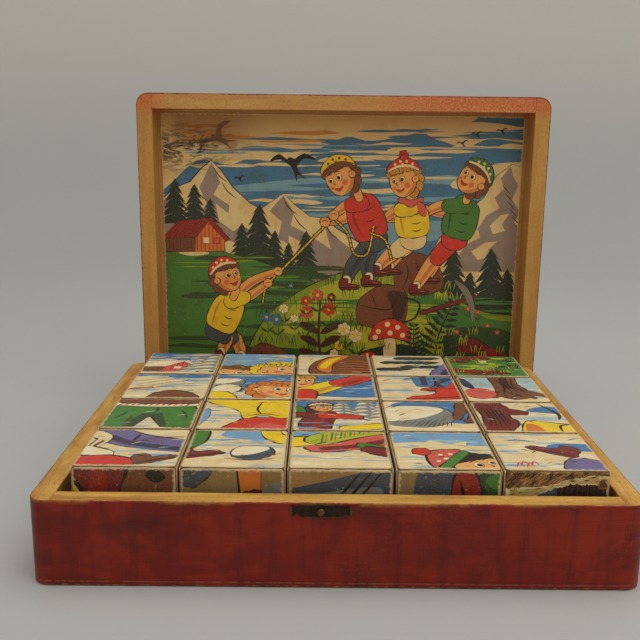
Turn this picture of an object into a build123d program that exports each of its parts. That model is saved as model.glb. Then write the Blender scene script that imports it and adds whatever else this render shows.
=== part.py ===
"""Picture-cube puzzle: a wooden tray full of printed cubes, and its separate lid stood up behind.

Millimetres, +Z up. The origin is the centre of the tray's underside. X runs along the tray's
length, and Y from its front, where the catch is, to its back.
"""

import os
from math import cos, radians, sin

from build123d import *

os.makedirs("parts", exist_ok=True)

# Cubes
columns = 5
rows = 4
cube_side = 39.7
cube_gap = 0.7
core_edge_round = 1.2
print_thickness = 0.3
cube_wander = 0.1  # how far a cube lies from its even place, each way
cube_turn = 0.25  # how many degrees a cube is turned on its spot, each way
floor_clearance = 0.1  # between a cube's underside and the tray's bottom panel

# The block of cubes in the tray
play_x = 6.9
play_y = 4.9
block_shift_x = 1.0
block_shift_y = 0.8

# Box walls, which tray and lid share because they were made as one box and sawn apart
side_wall = 8.6
end_wall = 8.4
panel_thickness = 2.4
outer_corner_round = 6.5
rim_round = 0.5
panel_edge_round = 0.9
finger_height = 6.0
tray_first_slice = 1.2  # the part of a finger that the saw left at the tray's rim
tray_fingers = 5
lid_first_slice = 3.5
lid_fingers = 2

# Catch
catch_length = 22.4
catch_body_length = 15.0
catch_height = 5.0
catch_waist = 2.6
catch_thickness = 0.6
catch_tip_bulge = 1.1
catch_offset_x = -6.3
catch_below_rim = 0.3
stud_radius = 1.35
stud_reach = 1.5
stud_round = 0.5

# Lid
lid_behind_tray = 7.9
lid_shift_x = 5.0
picture_margin = 1.8
picture_thickness = 0.4

# Worked out from the values above
cube_pitch = cube_side + cube_gap
core_side = cube_side - 2 * print_thickness
hollow_width = columns * cube_pitch - cube_gap + play_x
hollow_depth = rows * cube_pitch - cube_gap + play_y
box_width = hollow_width + 2 * side_wall
box_depth = hollow_depth + 2 * end_wall
tray_wall_height = tray_first_slice + tray_fingers * finger_height
lid_wall_height = lid_first_slice + lid_fingers * finger_height
lid_depth = panel_thickness + lid_wall_height
lid_back_y = box_depth / 2 + lid_behind_tray + lid_depth

# A box half is built on its panel's outer face: x to the right, y to its back, z to its rim.
tray_plane = Plane.XY
lid_plane = Plane(origin=(lid_shift_x, lid_back_y, box_depth / 2), x_dir=(1, 0, 0), z_dir=(0, -1, 0))


def write(solid, name):
    """Labels a finished piece and writes it as its own file."""
    solid.label = name
    export_step(solid, f"parts/{name}.step")


def finger_bands(first_slice, fingers):
    """Heights (low, high, belongs to a side wall) of the fingers, counted from the rim down."""
    wall_height = first_slice + fingers * finger_height
    bands = [(wall_height - first_slice, wall_height, True)]
    for count in range(fingers):
        high = wall_height - first_slice - count * finger_height
        bands.append((high - finger_height, high, count % 2 == 1))
    return bands


def wall(plane, side, first_slice, fingers, is_side_wall):
    """One wall of a box half. side is -1 for the left or front wall and 1 for the other."""
    wall_height = first_slice + fingers * finger_height
    corner_x = box_width / 2 - side_wall / 2
    corner_y = box_depth / 2 - end_wall / 2
    with BuildPart() as piece:
        with BuildSketch(plane.offset(panel_thickness)):
            if is_side_wall:
                with Locations((side * corner_x, 0)):
                    Rectangle(side_wall, box_depth)
            else:
                with Locations((0, side * corner_y)):
                    Rectangle(box_width, end_wall)
        extrude(amount=wall_height)
        for low, high, belongs_to_side in finger_bands(first_slice, fingers):
            if belongs_to_side != is_side_wall:
                with BuildSketch(plane.offset(panel_thickness + low)):
                    for end in (-1, 1):
                        corner = (side * corner_x, end * corner_y)
                        if not is_side_wall:
                            corner = (end * corner_x, side * corner_y)
                        with Locations(corner):
                            Rectangle(side_wall, end_wall)
                extrude(amount=high - low, mode=Mode.SUBTRACT)
        with BuildSketch(plane):
            RectangleRounded(box_width, box_depth, outer_corner_round)
        extrude(amount=panel_thickness + wall_height, mode=Mode.INTERSECT)
        rim = piece.faces().sort_by(Axis(plane.origin, plane.z_dir))[-1]
        long_edges = [edge for edge in rim.edges() if edge.length > box_depth / 2]
        fillet(long_edges, radius=rim_round)
    return piece.part


def panel(plane):
    """The flat panel glued under the walls, with its outer edge eased."""
    with BuildPart() as piece:
        with BuildSketch(plane):
            RectangleRounded(box_width, box_depth, outer_corner_round)
        extrude(amount=panel_thickness)
        outer_face = piece.faces().sort_by(Axis(plane.origin, plane.z_dir))[0]
        fillet(outer_face.edges(), radius=panel_edge_round)
    return piece.part


# Tray
write(panel(tray_plane), "tray_bottom_panel")
write(wall(tray_plane, -1, tray_first_slice, tray_fingers, False), "tray_front_wall")
write(wall(tray_plane, 1, tray_first_slice, tray_fingers, False), "tray_back_wall")
write(wall(tray_plane, -1, tray_first_slice, tray_fingers, True), "tray_left_wall")
write(wall(tray_plane, 1, tray_first_slice, tray_fingers, True), "tray_right_wall")

# Lid, stood on its back wall with its open side to the front
write(panel(lid_plane), "lid_top_panel")
write(wall(lid_plane, 1, lid_first_slice, lid_fingers, False), "lid_front_wall")
write(wall(lid_plane, -1, lid_first_slice, lid_fingers, False), "lid_back_wall")
write(wall(lid_plane, -1, lid_first_slice, lid_fingers, True), "lid_left_wall")
write(wall(lid_plane, 1, lid_first_slice, lid_fingers, True), "lid_right_wall")

with BuildPart() as lid_picture:
    with BuildSketch(lid_plane.offset(panel_thickness)):
        Rectangle(hollow_width - 2 * picture_margin, hollow_depth - 2 * picture_margin)
    extrude(amount=picture_thickness)
write(lid_picture.part, "lid_picture_sheet")


# Catch: a thin plate with waisted, flared ends, and the round stud that a hook closes over
def catch_plate(plane):
    """The stamped plate, on the face whose plane has x along it and y towards the rim."""
    body_end = catch_body_length / 2
    tip = catch_length / 2 - catch_tip_bulge
    half_height = catch_height / 2
    half_waist = catch_waist / 2
    waist_x = (body_end + tip) / 2
    with BuildPart() as piece:
        with BuildSketch(plane):
            Rectangle(catch_body_length, catch_height)
            for end in (-1, 1):
                with BuildLine():
                    upper = ThreePointArc(
                        (end * body_end, half_height), (end * waist_x, half_waist), (end * tip, half_height)
                    )
                    tip_arc = ThreePointArc(
                        upper @ 1, (end * catch_length / 2, 0), (end * tip, -half_height)
                    )
                    lower = ThreePointArc(
                        tip_arc @ 1, (end * waist_x, -half_waist), (end * body_end, -half_height)
                    )
                    Line(lower @ 1, upper @ 0)
                make_face()
        extrude(amount=catch_thickness)
    return piece.part


rim_z = panel_thickness + tray_wall_height
catch_z = rim_z - catch_below_rim - catch_height / 2
catch_place = Plane(
    origin=(catch_offset_x, -box_depth / 2, catch_z), x_dir=(1, 0, 0), z_dir=(0, -1, 0)
)
write(catch_plate(catch_place), "catch_plate")

with BuildPart() as catch_stud:
    with BuildSketch(catch_place.offset(catch_thickness)):
        Circle(stud_radius)
    extrude(amount=stud_reach)
    head = catch_stud.faces().sort_by(Axis.Y)[0]
    fillet(head.edges(), radius=stud_round)
write(catch_stud.part, "catch_stud")


# Cubes, numbered from the front row and the left column
def cube_plane(column, row):
    """The plane under a cube's core, a little off its even place, as cubes lie in a tray."""
    count = row * columns + column
    x = block_shift_x + (column - (columns - 1) / 2) * cube_pitch + cube_wander * sin(2.3 * count)
    y = block_shift_y + (row - (rows - 1) / 2) * cube_pitch + cube_wander * sin(4.1 * count + 1)
    z = panel_thickness + floor_clearance + print_thickness
    turn = radians(cube_turn * sin(3.7 * count + 2))
    return Plane(origin=(x, y, z), x_dir=(cos(turn), sin(turn), 0), z_dir=(0, 0, 1))


def cube_core(plane):
    """The pressed core, with its edges rounded."""
    with BuildPart() as core:
        with BuildSketch(plane):
            Rectangle(core_side, core_side)
        extrude(amount=core_side)
        fillet(core.edges(), radius=core_edge_round)
    return core.part


def torn_area(face):
    """What is missing of a sheet that has been torn off along its upper edge."""
    flat = core_side - 2 * core_edge_round
    with BuildPart() as missing:
        with BuildSketch(Plane(origin=face.center(), x_dir=(1, 0, 0), z_dir=face.normal_at())):
            with BuildLine():
                edge = Polyline(
                    (-0.50 * flat, 0.34 * flat),
                    (-0.16 * flat, 0.36 * flat),
                    (0.01 * flat, 0.40 * flat),
                    (0.11 * flat, 0.45 * flat),
                    (0.26 * flat, 0.46 * flat),
                    (0.32 * flat, 0.48 * flat),
                    (0.50 * flat, 0.48 * flat),
                )
                Polyline(edge @ 1, (0.50 * flat, 0.50 * flat), (-0.50 * flat, 0.50 * flat), edge @ 0)
            make_face()
        extrude(amount=print_thickness)
    return missing.part


def cube_prints(core, torn):
    """The papers glued to a core, one on the flat of each face."""
    faces = core.faces().filter_by(GeomType.PLANE)
    with BuildPart() as prints:
        for face in faces:
            extrude(face, amount=print_thickness)
        if torn:
            add(torn_area(faces.sort_by(Axis.Y)[0]), mode=Mode.SUBTRACT)
    return prints.part


for row in range(rows):
    for column in range(columns):
        name = f"cube_r{row + 1}_c{column + 1}"
        core = cube_core(cube_plane(column, row))
        is_torn = row == 0 and column == columns - 1
        write(core, f"{name}_core")
        write(cube_prints(core, is_torn), f"{name}_prints")
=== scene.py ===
"""Looks of a picture-cube puzzle: a wooden tray of printed cubes, and its lid stood up behind it.

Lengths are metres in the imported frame's axes, and millimetres where a name or a comment says so. Prints
are drawn flat in millimetres: a point of a drawing is a complex number, x to the right and y up. A motif
is drawn about one unit large, and its pen says where it goes and how many millimetres a unit is.
"""

import cmath
import math
import random

import bmesh
import bpy
import numpy as np
from mathutils import Matrix, Vector, noise
from mathutils.geometry import delaunay_2d_cdt


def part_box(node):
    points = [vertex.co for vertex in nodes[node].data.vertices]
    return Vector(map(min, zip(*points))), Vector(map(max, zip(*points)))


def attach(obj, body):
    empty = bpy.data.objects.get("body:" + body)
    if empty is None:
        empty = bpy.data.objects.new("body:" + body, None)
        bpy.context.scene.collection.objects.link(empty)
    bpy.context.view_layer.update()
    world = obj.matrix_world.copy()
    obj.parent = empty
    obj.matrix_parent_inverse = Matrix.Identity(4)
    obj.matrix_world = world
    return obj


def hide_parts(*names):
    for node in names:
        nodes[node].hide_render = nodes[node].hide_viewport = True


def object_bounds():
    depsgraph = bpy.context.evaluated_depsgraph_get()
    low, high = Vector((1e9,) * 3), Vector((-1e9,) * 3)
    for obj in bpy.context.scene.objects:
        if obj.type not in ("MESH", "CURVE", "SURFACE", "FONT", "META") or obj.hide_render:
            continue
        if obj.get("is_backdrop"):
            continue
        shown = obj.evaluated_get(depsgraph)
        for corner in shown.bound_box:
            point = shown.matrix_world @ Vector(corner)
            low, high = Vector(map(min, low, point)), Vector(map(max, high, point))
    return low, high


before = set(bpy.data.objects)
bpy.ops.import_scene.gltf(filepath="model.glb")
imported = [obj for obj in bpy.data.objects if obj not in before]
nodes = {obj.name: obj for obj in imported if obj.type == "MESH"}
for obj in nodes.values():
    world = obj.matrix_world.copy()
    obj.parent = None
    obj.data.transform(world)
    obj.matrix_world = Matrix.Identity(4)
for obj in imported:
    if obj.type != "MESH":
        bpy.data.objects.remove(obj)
cad_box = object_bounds()

MM = 0.001
COLUMNS, ROWS = 5, 4

# ---------------------------------------------------------------- places, read from the frame
tray_low, tray_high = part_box("tray_bottom_panel")
rim_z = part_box("tray_front_wall")[1].z
lid_low, lid_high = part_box("lid_top_panel")
lid_rim_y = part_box("lid_front_wall")[0].y
side_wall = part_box("tray_left_wall")[1].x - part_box("tray_left_wall")[0].x
end_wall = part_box("tray_front_wall")[1].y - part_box("tray_front_wall")[0].y
picture_low, picture_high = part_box("lid_picture_sheet")
CORNER_ROUND = 0.0065
FINGER = 0.006
PANEL_MM = (tray_high.z - tray_low.z) / MM


# ---------------------------------------------------------------- colours
def srgb(red, green, blue):
    """The linear colour of an 8-bit sRGB one."""

    def linear(value):
        value /= 255
        return value / 12.92 if value < 0.04045 else ((value + 0.055) / 1.055) ** 2.4

    return (linear(red), linear(green), linear(blue), 1.0)


INKS = {
    "cream": (232, 210, 158),
    "white": (240, 226, 186),
    "sky": (118, 166, 200),
    "deep_sky": (68, 122, 172),
    "pale_sky": (168, 194, 196),
    "cloud": (226, 208, 160),
    "mauve": (152, 140, 140),
    "slate": (72, 82, 94),
    "navy": (52, 58, 84),
    "violet": (112, 104, 150),
    "fir": (38, 54, 46),
    "dark_green": (48, 80, 42),
    "green": (70, 128, 52),
    "leaf": (132, 160, 36),
    "lime": (176, 188, 48),
    "yellow": (238, 206, 30),
    "ochre": (206, 150, 52),
    "orange": (216, 120, 44),
    "skin": (236, 172, 98),
    "skin_shade": (212, 128, 70),
    "blush": (224, 116, 76),
    "red": (208, 54, 38),
    "rose": (214, 92, 80),
    "maroon": (120, 36, 34),
    "dark_red": (150, 40, 30),
    "brown": (122, 72, 44),
    "dark_brown": (70, 40, 28),
    "tan": (164, 128, 76),
    "khaki": (148, 124, 76),
    "grey": (130, 134, 128),
    "ink": (30, 22, 22),
    "paper": (226, 202, 152),
    "backing": (196, 170, 110),
    "fibre": (128, 88, 50),
}
INK_COLOURS = {name: srgb(*value) for name, value in INKS.items()}


# ---------------------------------------------------------------- shader nodes
class Shader:
    """A material's node tree, written as expressions."""

    def __init__(self, name):
        self.material = bpy.data.materials.new(name)
        self.material.use_nodes = True
        self.tree = self.material.node_tree
        self.surface = self.tree.nodes["Principled BSDF"]

    def feed(self, socket, value):
        if isinstance(value, bpy.types.NodeSocket):
            self.tree.links.new(value, socket)
        else:
            socket.default_value = value

    def add(self, kind, inputs=(), output=0, **settings):
        """Makes a node with its inputs given in order, or by key, and returns one output."""
        made = self.tree.nodes.new(kind)
        for name, value in settings.items():
            setattr(made, name, value)
        pairs = inputs.items() if isinstance(inputs, dict) else enumerate(inputs)
        for key, value in pairs:
            if value is not None:
                self.feed(made.inputs[key], value)
        return made.outputs[output]

    def maths(self, operation, a, b=0.0):
        return self.add("ShaderNodeMath", (a, b), operation=operation)

    def plus(self, a, b):
        return self.maths("ADD", a, b)

    def minus(self, a, b):
        return self.maths("SUBTRACT", a, b)

    def times(self, a, b):
        return self.maths("MULTIPLY", a, b)

    def larger(self, a, b):
        return self.maths("MAXIMUM", a, b)

    def smaller(self, a, b):
        return self.maths("MINIMUM", a, b)

    def vector(self, x, y, z):
        return self.add("ShaderNodeCombineXYZ", (x, y, z))

    def split(self, value):
        made = self.tree.nodes.new("ShaderNodeSeparateXYZ")
        self.feed(made.inputs[0], value)
        return made.outputs

    def scaled(self, value, factors):
        return self.add("ShaderNodeVectorMath", (value, factors), operation="MULTIPLY")

    def mix(self, factor, a, b, blend="MIX"):
        inputs = {0: factor, 6: a, 7: b}
        return self.add("ShaderNodeMix", inputs, output=2, data_type="RGBA", blend_type=blend)

    def tint(self, colour, other, mask, amount):
        """The colour, turned by amount towards another where the mask is 1."""
        return self.mix(self.times(mask, amount), colour, other)

    def noise(self, place, scale, detail=3.0, rough=0.55, twist=0.0):
        inputs = {"Vector": place, "Scale": scale, "Detail": detail, "Roughness": rough, "Distortion": twist}
        return self.add("ShaderNodeTexNoise", inputs)

    def step(self, value, low, high):
        """0 below low and 1 above high, smooth between; the other way round if low is the larger."""
        inputs = {"Value": value, "From Min": low, "From Max": high}
        return self.add("ShaderNodeMapRange", inputs, interpolation_type="SMOOTHSTEP")

    def near(self, value, target, width):
        """1 where value is target, falling to 0 at width away."""
        return self.step(self.maths("ABSOLUTE", self.minus(value, target)), width, 0.0)

    def both(self, *values):
        result = values[0]
        for value in values[1:]:
            result = self.times(result, value)
        return result

    def either(self, *values):
        result = values[0]
        for value in values[1:]:
            result = self.larger(result, value)
        return result

    def finish(self, colour, roughness, height=None, depth=0.0002, strength=0.6):
        """Links colour, roughness and a bump of the given depth in metres."""
        self.feed(self.surface.inputs["Base Color"], colour)
        self.feed(self.surface.inputs["Roughness"], roughness)
        if height is not None:
            inputs = {"Strength": strength, "Distance": depth, "Height": height}
            normal = self.add("ShaderNodeBump", inputs)
            self.feed(self.surface.inputs["Normal"], normal)
        return self.material


# ---------------------------------------------------------------- wood
BARE = srgb(205, 153, 72)
BARE_LIGHT = srgb(219, 171, 86)
BARE_DARK = srgb(166, 112, 47)
BARE_INSIDE = srgb(156, 106, 52)
PORE = srgb(96, 58, 28)
STAIN = srgb(124, 28, 13)
STAIN_DARK = srgb(78, 17, 12)
STAIN_WARM = srgb(148, 40, 15)
STAIN_SMOKE = srgb(66, 25, 22)
SCUFF = srgb(116, 76, 56)
JOINT = srgb(56, 26, 18)


def box_place(shader, is_lid):
    """Millimetres from the box half's centre, sideways and frontways, and up from its panel."""
    object_place = shader.add("ShaderNodeTexCoord", output=3)
    x, y, z = shader.split(shader.scaled(object_place, (1000, 1000, 1000)))
    if not is_lid:
        return x, y, z
    centre = (lid_low + lid_high) / 2 / MM
    across = shader.minus(x, centre.x)
    up = shader.minus(z, centre.z)
    return across, up, shader.minus(lid_high.y / MM, y)


def depth_below_outside(shader, x, y):
    """How many millimetres a point lies inside the box's rounded outline."""
    half_x = (tray_high.x - tray_low.x) / 2 / MM - CORNER_ROUND / MM
    half_y = (tray_high.y - tray_low.y) / 2 / MM - CORNER_ROUND / MM
    over_x = shader.minus(shader.maths("ABSOLUTE", x), half_x)
    over_y = shader.minus(shader.maths("ABSOLUTE", y), half_y)
    corner = shader.vector(shader.larger(over_x, 0.0), shader.larger(over_y, 0.0), 0.0)
    outside = shader.add("ShaderNodeVectorMath", (corner,), output=1, operation="LENGTH")
    inside = shader.smaller(shader.larger(over_x, over_y), 0.0)
    return shader.minus(CORNER_ROUND / MM, shader.plus(outside, inside))


def bare_wood(shader, place, along, fineness):
    """Colour and height of unfinished, rubbed wood with its grain along axis 0, 1 or 2."""
    stretch = [1.0, 1.0, 1.0]
    stretch[along] = 0.12
    grain_place = shader.scaled(place, stretch)
    broad = shader.noise(grain_place, 0.16 * fineness, 4.0, 0.6, 0.6)
    fine = shader.noise(grain_place, 1.3 * fineness, 4.0, 0.65)
    stretch[along] = 0.3
    pores = shader.noise(shader.scaled(place, stretch), 2.6 * fineness, 2.0, 0.6)
    cloudy = shader.noise(place, 0.045, 3.0)
    colour = shader.mix(shader.step(broad, 0.35, 0.68), BARE_LIGHT, BARE_DARK)
    colour = shader.mix(shader.step(fine, 0.42, 0.7), colour, BARE)
    colour = shader.tint(colour, BARE_DARK, shader.step(cloudy, 0.45, 0.7), 0.45)
    colour = shader.tint(colour, PORE, shader.step(pores, 0.62, 0.72), 0.75)
    height = shader.minus(fine, shader.step(pores, 0.6, 0.72))
    return colour, height


def stained_wood(shader, x, y, h, place):
    """Colour and gloss of the old red-brown stain, rubbed and streaked up and down."""
    streak_place = shader.vector(shader.times(x, 0.2), shader.times(y, 0.2), shader.times(h, 0.018))
    streaks = shader.noise(streak_place, 0.55, 4.0, 0.62, 0.4)
    thin_streaks = shader.noise(streak_place, 2.4, 3.0, 0.6)
    blotches = shader.noise(place, 0.05, 4.0, 0.6, 0.8)
    smoke = shader.noise(shader.scaled(place, (0.6, 0.6, 1.6)), 0.035, 4.0, 0.6)
    grain = shader.noise(shader.scaled(place, (0.06, 0.06, 2.0)), 1.2, 3.0, 0.6)
    colour = shader.mix(shader.step(blotches, 0.4, 0.66), STAIN, STAIN_WARM)
    colour = shader.tint(colour, STAIN_DARK, shader.step(streaks, 0.5, 0.72), 0.6)
    colour = shader.tint(colour, STAIN_SMOKE, shader.step(thin_streaks, 0.56, 0.74), 0.4)
    colour = shader.tint(colour, STAIN_SMOKE, shader.step(smoke, 0.56, 0.72), 0.55)
    colour = shader.tint(colour, STAIN_DARK, shader.step(grain, 0.52, 0.75), 0.3)
    # Rubbed patches of fine grey-brown marks, and a few long scratches
    patch = shader.step(shader.noise(place, 0.022, 2.0), 0.5, 0.66)
    marks = shader.step(shader.noise(place, 1.1, 4.0, 0.75), 0.55, 0.66)
    colour = shader.tint(colour, SCUFF, shader.both(patch, marks), 0.7)
    tilted = shader.add("ShaderNodeVectorRotate", {"Vector": place, "Axis": (0.3, 1.0, 0.1), "Angle": 0.5})
    scratch = shader.noise(shader.scaled(tilted, (0.02, 0.02, 1.0)), 0.9, 2.0, 0.4)
    scratch = shader.both(shader.near(scratch, 0.6, 0.006), shader.step(marks, 0.2, 0.8))
    colour = shader.tint(colour, SCUFF, scratch, 0.8)
    rough = shader.plus(0.36, shader.times(shader.both(patch, marks), 0.35))
    return colour, shader.plus(rough, shader.times(blotches, 0.16)), grain


def box_wood(name, is_lid, along, is_side_wall=False, is_panel=False):
    """The wood of one wall or panel: stained outside, bare on the rim and darker bare inside."""
    shader = Shader(name)
    x, y, h = box_place(shader, is_lid)
    place = shader.vector(x, y, h)
    rim = (lid_high.y - lid_rim_y) / MM if is_lid else rim_z / MM
    ragged = shader.noise(place, 0.5, 4.0, 0.7)
    ragged_broad = shader.noise(place, 0.06, 3.0, 0.6)
    depth = depth_below_outside(shader, x, y)
    below_rim = shader.minus(rim, h)

    bare, bare_height = bare_wood(shader, place, along, 0.8 if is_lid else 1.0)
    if is_lid:
        # The lid's rim is darker and coarser, and keeps traces of the old red paint along its top edge,
        # from the middle to the right and at the left corner
        bare = shader.mix(0.6, bare, srgb(206, 150, 78) if is_side_wall else srgb(220, 162, 98))
        speckle = shader.noise(place, 1.0, 4.0, 0.8)
        bare = shader.tint(bare, srgb(164, 106, 58), shader.step(speckle, 0.5, 0.62), 0.4)
        to_top = shader.step(y, 78.0, 86.0)
        to_side = shader.either(shader.step(x, -10.0, 60.0), shader.step(x, -92.0, -108.0))
        paint = shader.both(to_top, to_side, shader.step(speckle, 0.36, 0.56))
        bare = shader.tint(bare, srgb(212, 92, 58), paint, 0.85)
    inner_depth = 8.0
    inside = shader.both(shader.step(depth, inner_depth - 0.3, inner_depth), shader.step(below_rim, 0.1, 0.6))
    bare = shader.tint(bare, BARE_INSIDE, inside, 0.2 if is_lid else 0.85)

    stain, stain_rough, stain_height = stained_wood(shader, x, y, h, place)
    if is_side_wall:
        # The ends of the side walls show their end grain at the corners
        end_face = shader.step(shader.maths("ABSOLUTE", y), 84.0, 89.0)
        stain = shader.tint(stain, srgb(58, 16, 14), end_face, 0.24)

    # The stain ends raggedly at the rim and is worn through along the outer edges
    reach = shader.times(shader.minus(ragged, 0.5), 1.6)
    skin = shader.step(shader.plus(depth, reach), 0.75, 0.3)
    if is_panel:
        outer_face = shader.step(shader.plus(h, shader.times(reach, 0.2)), 0.5, 0.15)
        skin = shader.either(skin, outer_face) if is_lid else skin
    wear_height = shader.plus(below_rim, shader.times(reach, 1.2))
    worn_rim = shader.both(shader.step(wear_height, 1.5, 0.4), shader.step(ragged_broad, 0.44, 0.56))
    at_foot = shader.both(shader.step(h, 1.2, 0.2), shader.step(ragged, 0.52, 0.6))
    skin = shader.both(skin, shader.minus(1.0, shader.times(worn_rim, 0.35)))
    if not (is_lid and is_panel):
        skin = shader.both(skin, shader.minus(1.0, shader.times(at_foot, 0.7)))

    # A rubbed, paler line runs round the box where the panel meets the walls
    foot_line = shader.both(shader.near(h, PANEL_MM - 0.5, 0.5), shader.step(ragged, 0.36, 0.55))
    stain = shader.tint(stain, srgb(166, 104, 88), foot_line, 0.5)

    colour = shader.mix(skin, bare, stain)
    gap = 0.22
    seam = shader.near(h, PANEL_MM, gap)
    if is_panel:
        line = shader.both(seam, shader.step(depth, 1.0, 0.5))
    else:
        half_x = (tray_high.x - tray_low.x) / 2 / MM
        half_y = (tray_high.y - tray_low.y) / 2 / MM
        in_x = shader.minus(half_x, shader.maths("ABSOLUTE", x))
        in_y = shader.minus(half_y, shader.maths("ABSOLUTE", y))
        near_side = shader.step(in_x, side_wall / MM + gap, side_wall / MM)
        near_end = shader.step(in_y, end_wall / MM + gap, end_wall / MM)
        corner = shader.both(near_side, near_end)
        finger = shader.maths("DIVIDE", shader.minus(h, PANEL_MM), FINGER / MM)
        fraction = shader.maths("PINGPONG", finger, 0.5)
        finger_side = shader.step(fraction, gap * MM / FINGER, 0.0)
        inset, thickness = (in_x, side_wall) if is_side_wall else (in_y, end_wall)
        upright = shader.near(inset, thickness / MM, gap)
        line = shader.either(shader.both(corner, shader.either(finger_side, upright)), seam)
    faint = shader.step(shader.noise(place, 0.3, 2.0), 0.35, 0.6)
    line = shader.times(shader.both(line, faint), 0.75)
    colour = shader.mix(line, colour, JOINT)

    bare_rough = shader.plus(0.5, shader.times(ragged, 0.25))
    rough_mix = shader.add("ShaderNodeMix", {0: skin, 2: bare_rough, 3: stain_rough}, data_type="FLOAT")
    height = shader.add("ShaderNodeMix", {0: skin, 2: bare_height, 3: stain_height}, data_type="FLOAT")
    height = shader.minus(height, line)
    shader.surface.inputs["Specular IOR Level"].default_value = 0.3
    return shader.finish(colour, rough_mix, height, depth=0.00018, strength=0.55)


def dress_box():
    """Gives every wall and panel its own wood, with the grain along its length."""
    for half, is_lid in (("tray", False), ("lid", True)):
        for wall, along, is_side in (("front", 0, False), ("back", 0, False), ("left", 1, True),
                ("right", 1, True)):
            name = f"{half}_{wall}_wall"
            nodes[name].material_slots[0].material = box_wood(f"{name}_wood", is_lid, along, is_side)
        panel = "lid_top_panel" if is_lid else "tray_bottom_panel"
        nodes[panel].material_slots[0].material = box_wood(f"{panel}_wood", is_lid, 0, is_panel=True)


# ---------------------------------------------------------------- catch
def patina(name):
    """Old dark brass with worn, lighter edges."""
    shader = Shader(name)
    place = shader.scaled(shader.add("ShaderNodeTexCoord", output=3), (1000, 1000, 1000))
    x, y, z = shader.split(place)
    cloudy = shader.noise(place, 0.5, 4.0, 0.7)
    fine = shader.noise(place, 2.5, 4.0, 0.7)
    colour = shader.mix(shader.step(cloudy, 0.4, 0.65), srgb(50, 37, 29), srgb(70, 53, 41))
    colour = shader.tint(colour, srgb(46, 48, 40), shader.step(fine, 0.58, 0.7), 0.5)
    plate_low, plate_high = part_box("catch_plate")
    centre = (plate_low + plate_high) / 2 / MM
    half = (plate_high - plate_low) / 2 / MM
    from_middle = shader.maths("ABSOLUTE", shader.minus(x, centre.x))
    from_axis = shader.maths("ABSOLUTE", shader.minus(z, centre.z))
    tips = shader.step(from_middle, half.x - 1.1, half.x - 0.2)
    rims = shader.both(shader.step(from_axis, half.z - 0.5, half.z - 0.1), shader.step(fine, 0.42, 0.56))
    proud = shader.step(y, plate_low.y / MM - 0.6, plate_low.y / MM - 1.3)
    worn = shader.both(shader.either(tips, rims, proud), shader.step(fine, 0.3, 0.5))
    colour = shader.tint(colour, srgb(138, 108, 82), worn, 0.6)
    shader.surface.inputs["Metallic"].default_value = 0.85
    rough = shader.plus(0.38, shader.times(fine, 0.25))
    return shader.finish(colour, rough, fine, depth=0.00012, strength=0.6)


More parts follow.
